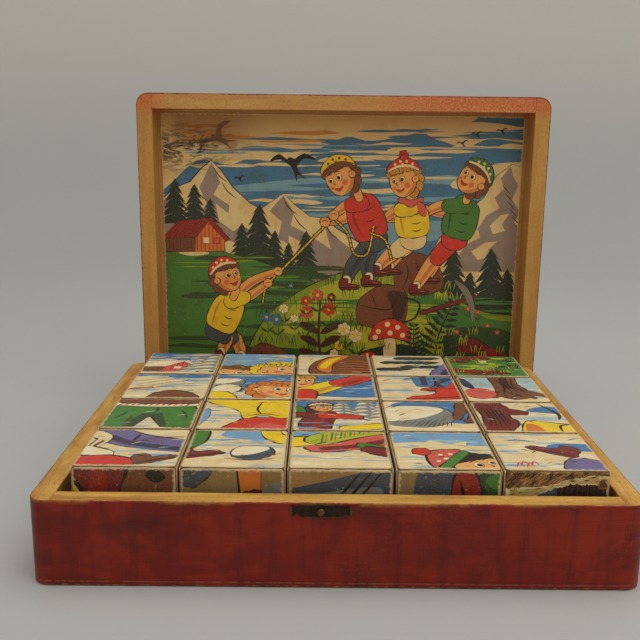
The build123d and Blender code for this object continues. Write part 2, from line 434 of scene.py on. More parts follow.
# ---------------------------------------------------------------- paper and core
def printed_paper(name, size_mm, edge_wear_mm, damp_and_rim_shade=False):
    """Litho ink on aged paper: colour from the drawing, with grain, yellowing, rubs and worn edges; the damp
    sheet also gets stains and painted shade along its top edge.
    """
    shader = Shader(name)
    ink = shader.add("ShaderNodeAttribute", attribute_name="ink")
    place = shader.scaled(shader.add("ShaderNodeTexCoord", output=3), (1000, 1000, 1000))
    sheet = shader.add("ShaderNodeUVMap", uv_map="sheet")
    across, up, _ = shader.split(sheet)
    stone = shader.noise(place, 3.2, 2.0, 0.7)
    blotch = shader.noise(place, 0.12, 4.0, 0.65)
    rub = shader.noise(place, 0.7, 5.0, 0.75)
    colour = shader.tint(ink, INK_COLOURS["cream"], shader.step(stone, 0.52, 0.75), 0.16)
    colour = shader.mix(
        shader.times(shader.step(stone, 0.48, 0.25), 0.2), colour, (0.5, 0.42, 0.3, 1), "MULTIPLY"
    )
    aged = shader.mix(1.0, colour, srgb(226, 196, 140), "MULTIPLY")
    colour = shader.tint(colour, aged, shader.step(blotch, 0.42, 0.75), 0.5)
    rubbed = shader.both(shader.step(rub, 0.6, 0.68), shader.step(blotch, 0.44, 0.54))
    colour = shader.tint(colour, INK_COLOURS["white"], rubbed, 0.5)
    if damp_and_rim_shade:
        # A brown tide mark hangs from the top edge, left of the middle, and dirt sits in the corner
        from_top = shader.minus(1.0, up)
        wander = shader.times(shader.minus(blotch, 0.5), 0.25)
        wander = shader.plus(wander, shader.times(shader.minus(rub, 0.5), 0.02))
        fall = shader.plus(from_top, wander)
        middle = shader.both(shader.step(across, 0.02, 0.05), shader.step(across, 0.34, 0.16))
        tide = shader.both(shader.step(fall, 0.13, 0.09), middle)
        # Painted shade: a soft brown darkening along the whole top edge stands in for the shadow of the lid's
        # rim
        top_painted_shade = shader.step(fall, 0.16, -0.04)
        colour = shader.tint(colour, shader.mix(1.0, colour, srgb(206, 158, 88), "MULTIPLY"), top_painted_shade, 0.6)
        colour = shader.tint(colour, srgb(150, 104, 60), tide, 0.6)
        smudge = shader.noise(shader.scaled(place, (0.3, 1.0, 1.0)), 0.35, 5.0, 0.75, 1.2)
        corner = shader.both(shader.step(across, 0.24, 0.1), shader.near(up, 0.88, 0.12))
        colour = shader.tint(colour, srgb(44, 36, 42), shader.both(corner, shader.step(smudge, 0.48, 0.53)),
            0.9)
        # The varnish over the whole picture has yellowed
        colour = shader.mix(1.0, colour, (1.14, 0.96, 0.7, 1), "MULTIPLY")
    # Worn, dirty edges
    from_side = shader.times(shader.maths("PINGPONG", across, 0.5), size_mm[0])
    from_end = shader.times(shader.maths("PINGPONG", up, 0.5), size_mm[1])
    from_edge = shader.smaller(from_side, from_end)
    worn = shader.plus(from_edge, shader.times(shader.minus(rub, 0.5), 4.0))
    bare_paper = shader.step(worn, edge_wear_mm, edge_wear_mm * 0.4)
    dirt = shader.both(shader.step(worn, edge_wear_mm * 0.8, 0.0), shader.step(stone, 0.35, 0.55))
    dirt = shader.both(dirt, shader.plus(0.35, shader.times(shader.step(rub, 0.4, 0.56), 0.65)))
    colour = shader.tint(colour, INK_COLOURS["paper"], bare_paper, 0.85)
    colour = shader.tint(colour, srgb(132, 92, 50), dirt, 0.55)
    rough = shader.plus(0.4, shader.times(rub, 0.22))
    height = shader.plus(stone, shader.times(blotch, 6.0))
    return shader.finish(colour, rough, height, depth=0.00006, strength=0.5)


def pressed_fibre(name, light, dark, ridged=False):
    """The brown board under the papers: short pressed fibres, in slanting ridges where a print is gone."""
    shader = Shader(name)
    place = shader.scaled(shader.add("ShaderNodeTexCoord", output=3), (1000, 1000, 1000))
    broad = shader.noise(place, 0.3, 4.0, 0.7)
    fibres = shader.noise(shader.scaled(place, (0.5, 1.0, 0.9)), 2.2, 5.0, 0.75, 1.0)
    if ridged:
        x, y, z = shader.split(place)
        along = shader.times(shader.plus(x, z), 0.2)
        across = shader.minus(x, z)
        fibres = shader.noise(shader.vector(along, y, across), 0.55, 4.0, 0.7, 0.8)
    colour = shader.mix(shader.step(broad, 0.35, 0.65), light, dark)
    colour = shader.tint(colour, srgb(56, 34, 18), shader.step(fibres, 0.5, 0.56), 0.9)
    colour = shader.tint(colour, srgb(214, 176, 112), shader.step(fibres, 0.44, 0.36), 0.6)
    return shader.finish(colour, 0.82, fibres, depth=0.0004, strength=0.9)


# ---------------------------------------------------------------- drawing
def smooth(points, closed=True, steps=4):
    """More points along the curve that passes through the given ones."""
    count = len(points)
    curve = []
    for i in range(count if closed else count - 1):
        if closed:
            a, b, c, d = (points[(i + k) % count] for k in (-1, 0, 1, 2))
        else:
            a, b, c, d = (points[min(max(i + k, 0), count - 1)] for k in (-1, 0, 1, 2))
        for s in range(steps):
            t = s / steps
            bend = (2 * a - 5 * b + 4 * c - d) * t**2 + (3 * b - a - 3 * c + d) * t**3
            curve.append(0.5 * (2 * b + (c - a) * t + bend))
    return curve if closed else curve + [points[-1]]


def ribbon(points, widths):
    """The outline of a band along the points, as wide at each as widths says."""
    left, right = [], []
    for i, point in enumerate(points):
        ahead = points[min(i + 1, len(points) - 1)] - points[max(i - 1, 0)]
        side = 1j * ahead / (abs(ahead) or 1) * widths[i] / 2
        left.append(point + side)
        right.append(point - side)
    return left + right[::-1]


def grown(points, amount):
    """A closed outline moved outwards, unevenly, as a pen line swells and thins."""
    area = sum((a.conjugate() * b).imag for a, b in zip(points, points[1:] + points[:1]))
    outward = -1j if area > 0 else 1j
    result = []
    for i, point in enumerate(points):
        along = points[(i + 1) % len(points)] - points[i - 1]
        swell = amount * (0.75 + 0.45 * math.sin(0.6 * i + 2 * point.real))
        result.append(point + outward * along / (abs(along) or 1) * swell)
    return result


class Sheet:
    """A drawing in flat inks, the later ones on top."""

    def __init__(self, ground, weight=1.0):
        self.ground = ground
        self.weight = weight
        self.shapes = []
        self.random = random.Random(7)

    def pen(self, at=0j, size=1.0, turn=0.0, flip=False):
        return Pen(self, at, size, turn, flip)


class Pen:
    """Draws on a sheet in its own place, size and turn, with lines in millimetres."""

    def __init__(self, sheet, at, size, turn, flip):
        self.sheet, self.at, self.size, self.flip = sheet, at, size, flip
        self.spin = cmath.rect(size, math.radians(turn))

    def put(self, point):
        return self.at + self.spin * (-point.conjugate() if self.flip else point)

    def pen(self, at, size=1.0, turn=0.0, flip=False):
        """A pen for a detail, placed in this pen's own units."""
        inner = Pen(self.sheet, self.put(at), self.size * size, turn, self.flip != flip)
        inner.spin *= self.spin / abs(self.spin)
        return inner

    def fill(self, ink, points, line=0.0):
        placed = [self.put(point) for point in points]
        if line:
            self.sheet.shapes.append(("ink", grown(placed, line * self.sheet.weight)))
        self.sheet.shapes.append((ink, placed))

    def blob(self, ink, points, line=0.0, steps=4):
        self.fill(ink, smooth(points, steps=steps), line)

    def dot(self, ink, at, radius, line=0.0, flat=1.0):
        ring = [at + radius * complex(math.cos(t * math.tau / 12), flat * math.sin(t * math.tau / 12))
            for t in range(12)]
        self.fill(ink, ring, line)

    def line(self, ink, points, width, steps=3, blunt=0.25):
        """A pen line of a width in millimetres that thins towards its ends."""
        curve = smooth([self.put(point) for point in points], closed=False, steps=steps)
        last = len(curve) - 1
        heavy = width * (self.sheet.weight if ink == "ink" else 1)
        widths = [heavy * (blunt + (1 - blunt) * math.sin(math.pi * i / last)) for i in range(last + 1)]
        self.sheet.shapes.append((ink, ribbon(curve, widths)))

    def limb(self, ink, points, widths, line=0.35, shade=None):
        """An arm, leg or trunk: a band with round ends, its widths in the pen's units."""
        curve = smooth(points, closed=False, steps=4)
        spread = [np.interp(i / (len(curve) - 1) * (len(widths) - 1), range(len(widths)),
            widths) for i in range(len(curve))]
        body = ribbon(curve, spread)
        half = len(curve)
        for end, place, radius in ((half, curve[-1], spread[-1]), (0, curve[0], spread[0])):
            away = curve[-1] - curve[-2] if end else curve[0] - curve[1]
            away /= abs(away) or 1
            cap = [place + away * radius / 2 * cmath.rect(1, angle) for angle in (0.9, 0.3, -0.3, -0.9)]
            body[end:end] = cap if end else []
            if not end:
                body += cap
        self.fill(ink, body, line)
        if shade:
            side = [point - 1j * width * 0.24 for point, width in zip(curve, spread)]
            self.sheet.shapes.append((shade, [self.put(p) for p in ribbon(side, [w * 0.3 for w in spread])]))


# ---------------------------------------------------------------- motifs, each about one unit large
def streaks(pen, ink, count, width, height, thick):
    """Flat, ragged streaks of cloud, shadow or sky scattered over width by height."""
    chance = pen.sheet.random
    for _ in range(count):
        x, y = chance.uniform(0, width), chance.uniform(0, height)
        length = chance.uniform(0.25, 0.7) * width
        t = thick * chance.uniform(0.5, 1.4)
        top = [complex(x + length * k / 5, y + t * chance.uniform(0.3, 1)) for k in range(1, 5)]
        low = [complex(x + length * k / 5, y - t * chance.uniform(0.0, 0.6)) for k in (4, 3, 2, 1)]
        pen.blob(ink, [complex(x, y), *top, complex(x + length, y + 0.2 * t), *low], steps=3)


def fir(pen, ink="fir", snow=False):
    """A fir one unit high, with drooping boughs and, in winter, snow on them."""
    tiers = 6
    left, right = [], []
    for k in range(tiers):
        y = 1 - (k + 1) / (tiers + 0.3)
        reach = 0.07 + 0.3 * (k + 1) / tiers
        left += [complex(-reach, y - 0.02), complex(-reach * 0.5, y + 0.035)]
        right += [complex(reach, y - 0.03), complex(reach * 0.45, y + 0.03)]
    pen.fill("ink" if ink == "fir" else "dark_brown", [-0.03+0j, 0.03+0j, 0.02+0.3j, -0.02+0.3j])
    outline = [0.01+1j, *right[:-1], 0.04+0.05j, -0.05+0.05j, *left[:-1][::-1]]
    pen.fill(ink, outline)
    for k in range(1, tiers):
        y = 1 - (k + 1) / (tiers + 0.3)
        reach = 0.05 + 0.26 * (k + 1) / tiers
        side = 1 if k % 2 else -1
        pen.line("grey" if ink == "fir" else "ink", [side * reach * 0.2 + 1j * (y + 0.06),
            side * reach * 0.7 + 1j * (y + 0.01)], 0.3)
        if snow:
            pen.blob("white", [-reach + 1j * y, -reach * 0.4 + 1j * (y + 0.1), 0.02 + 1j * (y + 0.07),
                -0.05 + 1j * (y + 0.03)], steps=3)
            pen.blob("white", [reach * 0.9 + 1j * y, reach * 0.35 + 1j * (y + 0.09),
                0.06 + 1j * (y + 0.05)], steps=3)
            pen.line("sky", [-reach * 0.9 + 1j * (y - 0.02), 0.1 + 1j * (y + 0.01)], 0.35)


def grass(pen, ink, count, width, height, blade=0.12):
    """Tufts of upright strokes scattered over width by height."""
    chance = pen.sheet.random
    for _ in range(count):
        x, y = chance.uniform(0, width), chance.uniform(0, height)
        for k in range(4):
            lean = chance.uniform(-0.5, 0.5) * blade
            foot = complex(x + k * blade * 0.3, y)
            pen.line(ink, [foot, foot + complex(lean * 0.3, blade * 0.6), foot + complex(lean, blade)],
                0.45, blunt=0.1)


def flower(pen, ink, petals=5, leaf="dark_green"):
    """A flower on its stalk, one unit high."""
    pen.line(leaf, [0j, 0.04+0.4j, 0.8j], 0.45)
    for side in (-1, 1):
        pen.blob(leaf, [0.02+0.2j, side * 0.16 + 0.36j, side * 0.3 + 0.42j, side * 0.14 + 0.22j], steps=3)
    for k in range(petals):
        out = cmath.rect(0.13, k * math.tau / petals + 0.3)
        pen.dot(ink, 0.82j + out, 0.09, 0.12)
    pen.dot("yellow" if ink != "yellow" else "orange", 0.82j, 0.06)


def hut(pen, wall="orange", roof="dark_red", snow=False):
    """A log hut one unit wide, seen from its corner."""
    pen.fill(wall, [0.48+0j, 0.96+0.02j, 0.98+0.24j, 0.74+0.52j, 0.5+0.26j], 0.3)
    pen.fill("brown", [0j, 0.48+0j, 0.5+0.26j, 0.02+0.24j], 0.3)
    for k in range(7):
        x = 0.52 + 0.065 * k
        pen.line("dark_red", [x + 0.02j, x + 1j * (0.3 + 0.2 * (1 - abs(k - 3.4) / 3.4))], 0.45, blunt=0.8)
    for k in range(8):
        pen.line("dark_brown", [0.06 * k + 0.01j, 0.06 * k + 0.24j], 0.35, blunt=0.8)
    pen.fill("white" if snow else roof, [-0.06+0.22j, 0.5+0.24j, 0.76+0.56j, 0.2+0.5j], 0.35)
    pen.fill("white" if snow else "dark_red", [0.76+0.56j, 1.06+0.2j, 1.0+0.17j, 0.72+0.48j], 0.3)
    for k in range(8 if not snow else 3):
        foot = complex(0.06 * k, 0.235)
        pen.line("dark_brown" if not snow else "sky", [foot, foot + 0.25 + 0.27j], 0.3, blunt=0.7)
    pen.fill("white", [0.62+0.14j, 0.72+0.14j, 0.72+0.24j, 0.62+0.24j], 0.25)
    pen.fill("rose", [0.8+0.14j, 0.88+0.14j, 0.88+0.23j, 0.8+0.23j], 0.25)


def bird(pen):
    """A swallow in flight, about one unit across."""
    pen.blob("ink", [-0.5+0.06j, -0.3+0.24j, -0.04+0.1j, 0.26+0.26j, 0.52+0.12j, 0.24+0.14j, 0.05-0.05j,
        -0.26+0.12j], steps=3)
    pen.blob("ink", [-0.1+0.16j, 0.04+0.13j, 0.14-0.12j, 0.3-0.3j, 0.12-0.2j, 0.1-0.36j, 0.02-0.12j,
        -0.06+0.02j], steps=3)


def head(pen, hair="brown", cap="red", band=None, bobble=False):
    """A child's head of radius one, calm, turned a little to the right, with a cap."""
    for k in range(8):
        pen.dot(hair, cmath.rect(0.88, math.radians(40 + 29 * k)), 0.3, 0.32)
    pen.blob("skin", [-0.7+0.2j, -0.62-0.36j, -0.26-0.8j, 0.26-0.92j, 0.68-0.66j, 0.84-0.16j, 0.8+0.4j,
        0.3+0.8j, -0.4+0.7j], 0.35)
    pen.blob("skin_shade", [-0.64+0.1j, -0.58-0.4j, -0.22-0.8j, 0.2-0.88j, -0.08-0.7j, -0.44-0.3j,
        -0.5+0.1j], steps=3)
    pen.dot("blush", -0.1-0.3j, 0.17)
    pen.dot("blush", 0.68-0.3j, 0.1)
    pen.dot("skin", -0.66-0.04j, 0.19, 0.3)
    pen.line("skin_shade", [-0.72+0.04j, -0.62-0.02j, -0.68-0.14j], 0.5)
    for x, wide in ((0.1, 0.15), (0.58, 0.12)):
        pen.dot("white", x + 0.12j, wide, 0.2, 1.2)
        pen.dot("ink", x + 0.03 + 0.1j, wide * 0.66, flat=1.2)
        pen.line("ink", [x - 0.18 + 0.4j, x + 0.02 + 0.48j, x + 0.18 + 0.4j], 0.4)
    pen.line("ink", [0.42+0.02j, 0.52-0.14j, 0.4-0.19j], 0.3)
    pen.blob("red", [0.1-0.42j, 0.34-0.48j, 0.58-0.4j, 0.36-0.62j], 0.2)
    for k in range(6):
        lock = -0.56 + 0.23 * k + 0.66j
        pen.dot(hair, lock, 0.17, 0.25)
    if cap:
        pen.blob(cap, [-1.0+0.36j, -0.84+0.98j, -0.1+1.36j, 0.64+1.12j, 0.9+0.7j, 0.2+0.88j, -0.5+0.76j],
            0.35)
        for spot in (-0.66+0.86j, -0.36+1.08j, 1.16j, 0.34+1.06j, -0.1+0.96j):
            pen.dot(band or "white", spot, 0.08)
        pen.line(band or "white", [-0.96+0.44j, -0.44+0.8j, 0.26+0.9j, 0.84+0.74j], 1.4, blunt=0.6)
        if bobble:
            for k in range(6):
                pen.dot(cap, -0.26 + 1.46j + cmath.rect(0.12, k), 0.17, 0.25)


def shoe(pen, ink="maroon"):
    """A boot pointing right, one unit long."""
    pen.blob(ink, [-0.3+0.42j, 0.02+0.44j, 0.12+0.2j, 0.52+0.14j, 0.66-0.02j, 0.3-0.1j, -0.3-0.1j,
        -0.36+0.14j], 0.35)
    pen.line("ink", [-0.34-0.02j, 0.1-0.01j, 0.62+0j], 0.5, blunt=0.8)
    pen.line("rose", [0.2+0.1j, 0.46+0.08j], 0.5)


def child(pen, neck, hips, hands, feet, shirt, shorts, skull, hair="brown", cap="red", bend=0.3, long=False,
        **head_facts):
    """A child drawn from where its head, neck, hips, hands and feet are, in head radii."""
    back_arm, front_arm = hands[0], hands[-1]
    shoulder = neck + (hips - neck) * 0.16
    elbow = (shoulder + back_arm) / 2 + 1j * bend * (back_arm - shoulder) * 0.5
    pen.limb("skin", [shoulder, elbow, back_arm], [0.66, 0.56, 0.38], shade="skin_shade")
    for k, foot in enumerate(feet):
        knee = (hips + foot) / 2 + (0.9 if foot.real > hips.real else -0.5) * (0.5+0.2j)
        leg = "skin" if not long else shorts
        pen.limb(leg, [hips, knee, foot], [1.1, 0.86, 0.56], shade="skin_shade" if leg == "skin" else "navy")
        pen.limb("white", [foot + 0.05j, foot - 0.22j], [0.5, 0.46])
        shoe(pen.pen(foot - 0.42j, 1.15))
        middle = knee * 0.72 + hips * 0.28
        if not long:
            pen.limb(shorts, [hips, middle], [1.15, 1.0])
    pen.blob(shorts, [hips + 0.66 + 0.5j, hips + 0.7 - 0.42j, hips - 0.1 - 0.7j, hips - 0.72 - 0.3j,
        hips - 0.62 + 0.5j], 0.35)
    spine = (neck - hips) / abs(neck - hips)
    side = spine * -1j
    pen.blob(shirt, [neck - side * 0.3 + spine * 0.16, neck + side * 0.55 - spine * 0.04,
        neck + side * 0.98 - spine * 0.7, hips + side * 0.94 + spine * 0.3, hips + spine * 0.06,
        hips - side * 0.9 + spine * 0.3, neck - side * 1.0 - spine * 0.8, neck - side * 0.6 - spine * 0.04],
        0.4)
    for k in (0.3, 0.55, 0.75):
        fold = neck + (hips - neck) * k
        pen.line("ink", [fold + side * 0.55, fold + side * 0.25 - spine * 0.12,
            fold - side * 0.05 - spine * 0.05], 0.4, blunt=0.1)
    shade = {"red": "dark_red", "yellow": "ochre", "green": "dark_green"}.get(shirt, "grey")
    pen.line(shade, [neck - side * 0.6 - spine * 0.5, (neck + hips) / 2 - side * 0.66,
        hips - side * 0.5 + spine * 0.3], 1.2)
    elbow = (shoulder + front_arm) / 2 - 1j * bend * (front_arm - shoulder) * 0.4
    pen.limb("skin", [shoulder, elbow, front_arm], [0.7, 0.58, 0.4], shade="skin_shade")
    pen.limb(shirt, [shoulder, shoulder * 0.35 + elbow * 0.65], [0.94, 0.84])
    for hand in hands:
        pen.dot("skin", hand, 0.27, 0.3)
        pen.line("ink", [hand - 0.14, hand + 0.02 + 0.05j, hand + 0.16], 0.25)
    pen.limb("skin", [neck - spine * 0.1, neck + spine * 0.4], [0.44, 0.44])
    head(pen.pen(skull, 1.0, head_facts.pop("tilt", 0.0), head_facts.pop("turned", False)), hair, cap,
        **head_facts)


def rope(pen, points, width=1.3):
    """A twisted cord."""
    pen.line("ink", points, width, blunt=1.0)
    pen.line("yellow", points, width * 0.62, blunt=1.0)
    curve = smooth(points, closed=False, steps=10)
    for a, b in zip(curve[::2], curve[1::2]):
        across = 1j * (b - a)
        pen.line("ink", [a - across * 0.5, b + across * 0.5], 0.3, steps=1, blunt=0.8)


def toadstool(pen):
    pen.blob("cream", [-0.14+0j, -0.12+0.5j, 0.14+0.5j, 0.18+0j, 0-0.06j], 0.3)
    pen.blob("red", [-0.52+0.42j, -0.36+0.86j, 0.06+1.0j, 0.46+0.8j, 0.56+0.4j, 0.02+0.5j], 0.35)
    for spot in (-0.3+0.66j, -0.06+0.86j, 0.22+0.78j, 0.36+0.56j, 0.02+0.62j, -0.38+0.5j):
        pen.dot("white", spot, 0.07)


def rucksack(pen):
    pen.blob("brown", [-0.5+0.1j, -0.4+0.5j, 0.74j, 0.42+0.66j, 0.5+0.2j, 0.3-0.1j, -0.3-0.08j], 0.4)
    pen.blob("dark_brown", [0.1+0.6j, 0.44+0.6j, 0.46+0.2j, 0.26-0.06j, 0.2+0.3j], steps=3)
    pen.line("ink", [-0.42+0.34j, 0.26j, 0.2+0.3j, 0.3+0.62j], 0.5)
    pen.line("ink", [-0.2+0.56j, -0.1+0.3j], 0.4)
    pen.line("ink", [0.44+0.5j, 0.74+0.4j, 0.66+0.1j, 0.4+0j], 0.8, blunt=0.7)


def fern(pen):
    """A frond one unit high."""
    stem = smooth([0j, 0.05+0.5j, 0.3+1.0j], closed=False, steps=7)
    for k, (a, b) in enumerate(zip(stem, stem[1:])):
        along = (b - a) / abs(b - a)
        reach = 0.34 * (1 - k / len(stem)) + 0.05
        for side in (1j, -1j):
            tip = a + along * side * reach + along * reach * 0.4
            pen.blob("fir", [a, a + (tip - a) * 0.5 + along * 0.03, tip,
                a + (tip - a) * 0.5 - along * 0.03], steps=2)
    pen.line("ink", [0j, 0.05+0.5j, 0.3+1.0j], 0.6)


def rock(pen, ink="brown"):
    pen.blob(ink, [-0.5+0j, -0.4+0.3j, -0.1+0.44j, 0.2+0.34j, 0.46+0.2j, 0.56+0j, 0-0.08j], 0.35)
    pen.line("ink", [-0.2+0.34j, -0.1+0.14j, 0.1+0.06j], 0.45)
    pen.line("ink", [0.16+0.28j, 0.26+0.06j], 0.4)


def pickaxe(pen):
    pen.limb("maroon", [-0.5-0.16j, 0.5+0.16j], [0.07, 0.08])
    pen.blob("grey", [0.1+0.5j, 0.36+0.34j, 0.52+0j, 0.5-0.34j, 0.4-0.0j, 0.28+0.24j], 0.25)


def snowball(pen, ink="white", shade="grey"):
    pen.blob(shade, [-0.5-0.1j, -0.3-0.36j, 0.1-0.42j, 0.46-0.2j, 0.5+0.12j, 0.3+0.36j, -0.3+0.36j], 0.3)
    pen.blob(ink, [-0.48+0j, -0.4-0.2j, -0.1-0.16j, 0.2+0j, 0.4+0.24j, 0.24+0.38j, -0.3+0.36j], steps=4)
    for k in range(7):
        foot = complex(-0.3 + 0.1 * k, -0.34 + 0.03 * abs(k - 2))
        pen.line("ink", [foot, foot + 0.1 + 0.14j], 0.25)


# ---------------------------------------------------------------- pictures
# Millimetres
PRINT_HALF = 19.85  # from a cube's middle to its printed face
FOLD = 1.5  # the radius that the papers bend over at a cube's edges
FLAT_HALF = PRINT_HALF - FOLD
SHEET_HALF = 19.4
TILE = 39.2  # one cube's share of a picture
MARGIN = (205 + 162j - TILE * complex(COLUMNS, ROWS)) / 2  # the border of a whole picture, which is cut away
PAPER = 0.28
LID_PAPER = 0.38
CUBE_TURN = 0.25  # how many degrees a loose cube is turned at most


def figure(sheet, skull_mm, **facts):
    """A child whose points are given in millimetres on the sheet."""
    for name in ("neck", "hips", "skull"):
        facts[name] /= skull_mm
    for name in ("hands", "feet"):
        facts[name] = [point / skull_mm for point in facts[name]]
    child(sheet.pen(size=skull_mm), **facts)


def alpine_picture():
    """Four children on a mountain meadow hauling on a rope, about 205 by 162 mm."""
    sheet = Sheet("deep_sky", 1.6)
    far = sheet.pen()
    far.fill("sky", [40+122j, 90+128j, 130+134j, 207+124j, 207+100j, 130+88j, 60+96j])
    streaks(sheet.pen(104j, 205), "deep_sky", 30, 0.95, 0.16, 0.012)
    far.blob("cloud", [-6+118j, -6+170j, 96+170j, 158+170j, 178+161j, 150+154j, 120+148j, 104+150j, 84+142j,
        60+144j, 40+134j, 20+136j])
    far.blob("cloud", [150+152j, 172+159j, 204+156j, 208+148j, 186+150j, 172+145j, 160+148j])
    far.blob("cloud", [164+124j, 182+134j, 208+136j, 208+116j, 190+118j, 178+120j])
    streaks(sheet.pen(44+104j, 90), "cloud", 13, 0.8, 0.4, 0.018)
    streaks(sheet.pen(112+104j, 90), "cloud", 9, 0.9, 0.5, 0.016)
    streaks(sheet.pen(2+140j, 100), "sky", 8, 0.9, 0.06, 0.012)
    streaks(sheet.pen(96+138j, 110), "cloud", 12, 0.9, 0.16, 0.014)
    streaks(sheet.pen(10+132j, 100), "cloud", 10, 0.9, 0.1, 0.02)
    streaks(sheet.pen(16+134j, 120), "deep_sky", 10, 0.9, 0.12, 0.012)
    streaks(sheet.pen(110+142j, 95), "deep_sky", 9, 0.9, 0.14, 0.014)
    streaks(sheet.pen(146j, 70), "ochre", 7, 0.9, 0.16, 0.03)
    far.fill("cloud", [-5+110j, 8+121j, 16+124j, 22+131j, 28+136j, 33+131j, 40+121j, 50+112j, 56+109j,
        62+113j, 69+118j, 75+112j, 84+105j, 92+104j, 100+98j, 116+88j, 120+60j, -5+60j], 0.35)
    shades = ([28+135j, 33+124j, 29+117j, 38+111j, 37+103j, 50+97j, 64+84j, 60+70j, 24+70j, 28+92j, 19+102j,
        25+112j, 21+121j], [69+117j, 75+107j, 73+100j, 83+95j, 100+84j, 100+66j, 74+66j, 78+86j, 66+92j,
        68+102j, 61+108j], [6+119j, 10+110j, 4+104j, 12+96j, 8+86j, -5+86j, -5+108j],
        [92+103j, 98+94j, 112+84j, 116+72j, 100+72j, 96+88j])
    for shade in shades:
        far.fill("mauve", shade)
    for light in ([30+112j, 46+100j, 40+96j, 32+102j], [34+92j, 56+84j, 50+78j, 36+84j],
            [72+94j, 84+88j, 80+82j, 72+86j]):
        far.fill("cloud", light)
    for x, y in ((29, 133), (34, 124), (69, 115), (75, 106), (93, 101), (18, 122), (8, 118)):
        far.line("ink", [complex(x, y), complex(x + 3, y - 5), complex(x + 8, y - 9)], 0.4)
    far.fill("cloud", [150+76j, 160+94j, 168+99j, 176+110j, 184+117j, 190+129j, 199+136j, 208+133j, 208+56j,
        150+56j], 0.35)
    far.fill("mauve", [198+135j, 193+128j, 195+122j, 190+117j, 193+111j, 186+107j, 181+99j, 183+94j,
        175+90j, 170+82j, 172+74j, 208+74j, 208+96j, 202+103j, 205+109j, 200+116j, 203+124j, 200+129j])
    far.fill("cloud", [188+101j, 194+107j, 199+108j, 195+102j, 197+98j, 190+96j])
    far.fill("cloud", [178+86j, 186+91j, 193+92j, 188+87j, 190+83j, 182+81j])
    for k in range(7):
        far.line("ink", [complex(194 + 1.6 * k, 124 - 4.4 * k), complex(199 + 1.6 * k, 119 - 4.4 * k)], 0.3)
    for x, y, tall in ((7, 99, 27), (18, 98, 25), (27, 97, 18), (45, 79, 22), (64, 73, 24), (82, 69, 28),
            (55, 74, 38), (72, 70, 20)):
        fir(sheet.pen(x + 1j * y, tall))
    far.blob("green", [-5+84j, 14+87j, 34+84j, 60+77j, 84+68j, 110+50j, 120-5j, -5-5j], 0.3)
    streaks(sheet.pen(-4+20j, 100), "dark_green", 34, 0.9, 0.62, 0.02)
    streaks(sheet.pen(60j, 60), "leaf", 6, 0.9, 0.36, 0.012)
    far.blob("cloud", [8+83.5j, 20+84.5j, 26+83j, 16+81.5j])
    hut(sheet.pen(1+84j, 35))
    for x, y, tall in ((168, 52, 36), (190, 46, 42), (178, 46, 28), (200, 44, 32), (160, 56, 20)):
        fir(sheet.pen(x + 1j * y, tall, 0, x > 180))
    far.blob("leaf", [58+44j, 74+58j, 92+68j, 112+74j, 136+71j, 160+62j, 186+50j, 212+42j, 212-8j, 40-8j,
        46+20j], 0.4)
    far.blob("lime", [74+52j, 96+66j, 114+71j, 126+62j, 110+54j, 90+40j, 70+36j], steps=3)
    far.blob("lime", [110+40j, 140+48j, 160+40j, 140+28j, 116+24j], steps=3)
    far.blob("green", [134+66j, 160+60j, 190+46j, 208+42j, 208+18j, 180+30j, 156+46j, 140+58j], steps=3)
    streaks(sheet.pen(60+22j, 140), "green", 22, 0.9, 0.26, 0.01)
    streaks(sheet.pen(64+30j, 80), "lime", 14, 0.9, 0.4, 0.012)
    far.blob("dark_green", [170+40j, 208+36j, 208+4j, 176+8j, 164+22j], steps=3)
    far.blob("dark_green", [36+24j, 70+27j, 96+24j, 130+20j, 150+10j, 150-5j, 36-5j], steps=3)
    grass(sheet.pen(46+22j, 10), "fir", 30, 13, 2.6, 0.6)
    grass(sheet.pen(60+34j, 10), "dark_green", 34, 12, 2.8, 0.6)
    grass(sheet.pen(120+56j, 10), "lime", 20, 5, 1.2, 0.6)
    grass(sheet.pen(84+64j, 10), "dark_green", 16, 6, 0.6, 0.5)
    far.blob("brown", [134+66j, 138+82j, 150+84j, 160+76j, 162+64j, 148+60j], 0.3)
    for x in (140, 146, 152):
        far.line("ink", [complex(x, 80), complex(x + 2, 72), complex(x - 1, 64)], 0.5)

    bird(sheet.pen(74+134j, 26))
    bird(sheet.pen(32+148j, 24, 40))
    for x, y in ((178, 152), (170, 147), (192, 154), (44, 126)):
        bird(sheet.pen(x + 1j * y, 7, 10))

    figure(sheet, 9.4, neck=174 + 116j, hips=168 + 93j, hands=[150+110j, 146+105j], feet=[154+72j, 147+65j],
        shirt="green", shorts="red", skull=177 + 127j, hair="brown", cap="green", tilt=-34, turned=True)
    figure(sheet, 9.6, neck=142 + 114j, hips=144 + 93j, hands=[120+106j, 126+103j], feet=[131+77j, 124+76j],
        shirt="yellow", shorts="cream", skull=138 + 126j, hair="ochre", cap="red", bobble=True, tilt=14,
        turned=True)
    far.limb("rose", [136+115j, 142+113.4j, 148+115.4j], [2.6, 3.4, 2.6], 0.3)
    far.blob("rose", [146+114j, 150+112j, 151+106j, 147+108j], 0.3)
    figure(sheet, 10, neck=112 + 117j, hips=121 + 92j, hands=[93+102j, 98+106j], feet=[119+70j, 106+68j],
        shirt="red", shorts="slate", skull=102 + 127j, hair="brown", cap="yellow", band="brown", tilt=26,
        turned=True, long=True)
    rope(sheet.pen(), [57+54j, 60+65j, 76+82j, 97+104j])
    rope(sheet.pen(), [98+104j, 106+96j, 110+84j, 118+84j, 121+100j])
    rope(sheet.pen(), [119+96j, 128+92j, 132+80j])
    for hand in (93+102j, 98+106j):
        far.dot("skin", hand, 2.8, 0.35)
        far.line("ink", [hand - 2, hand + 1j, hand + 2], 0.3)
    figure(sheet, 9.2, neck=40 + 58j, hips=30 + 37j, hands=[66+73j, 60+66j], feet=[44+22j, 32+24j],
        shirt="yellow", shorts="slate", skull=36 + 69j, hair="brown", cap="red", tilt=16, bend=0.2)

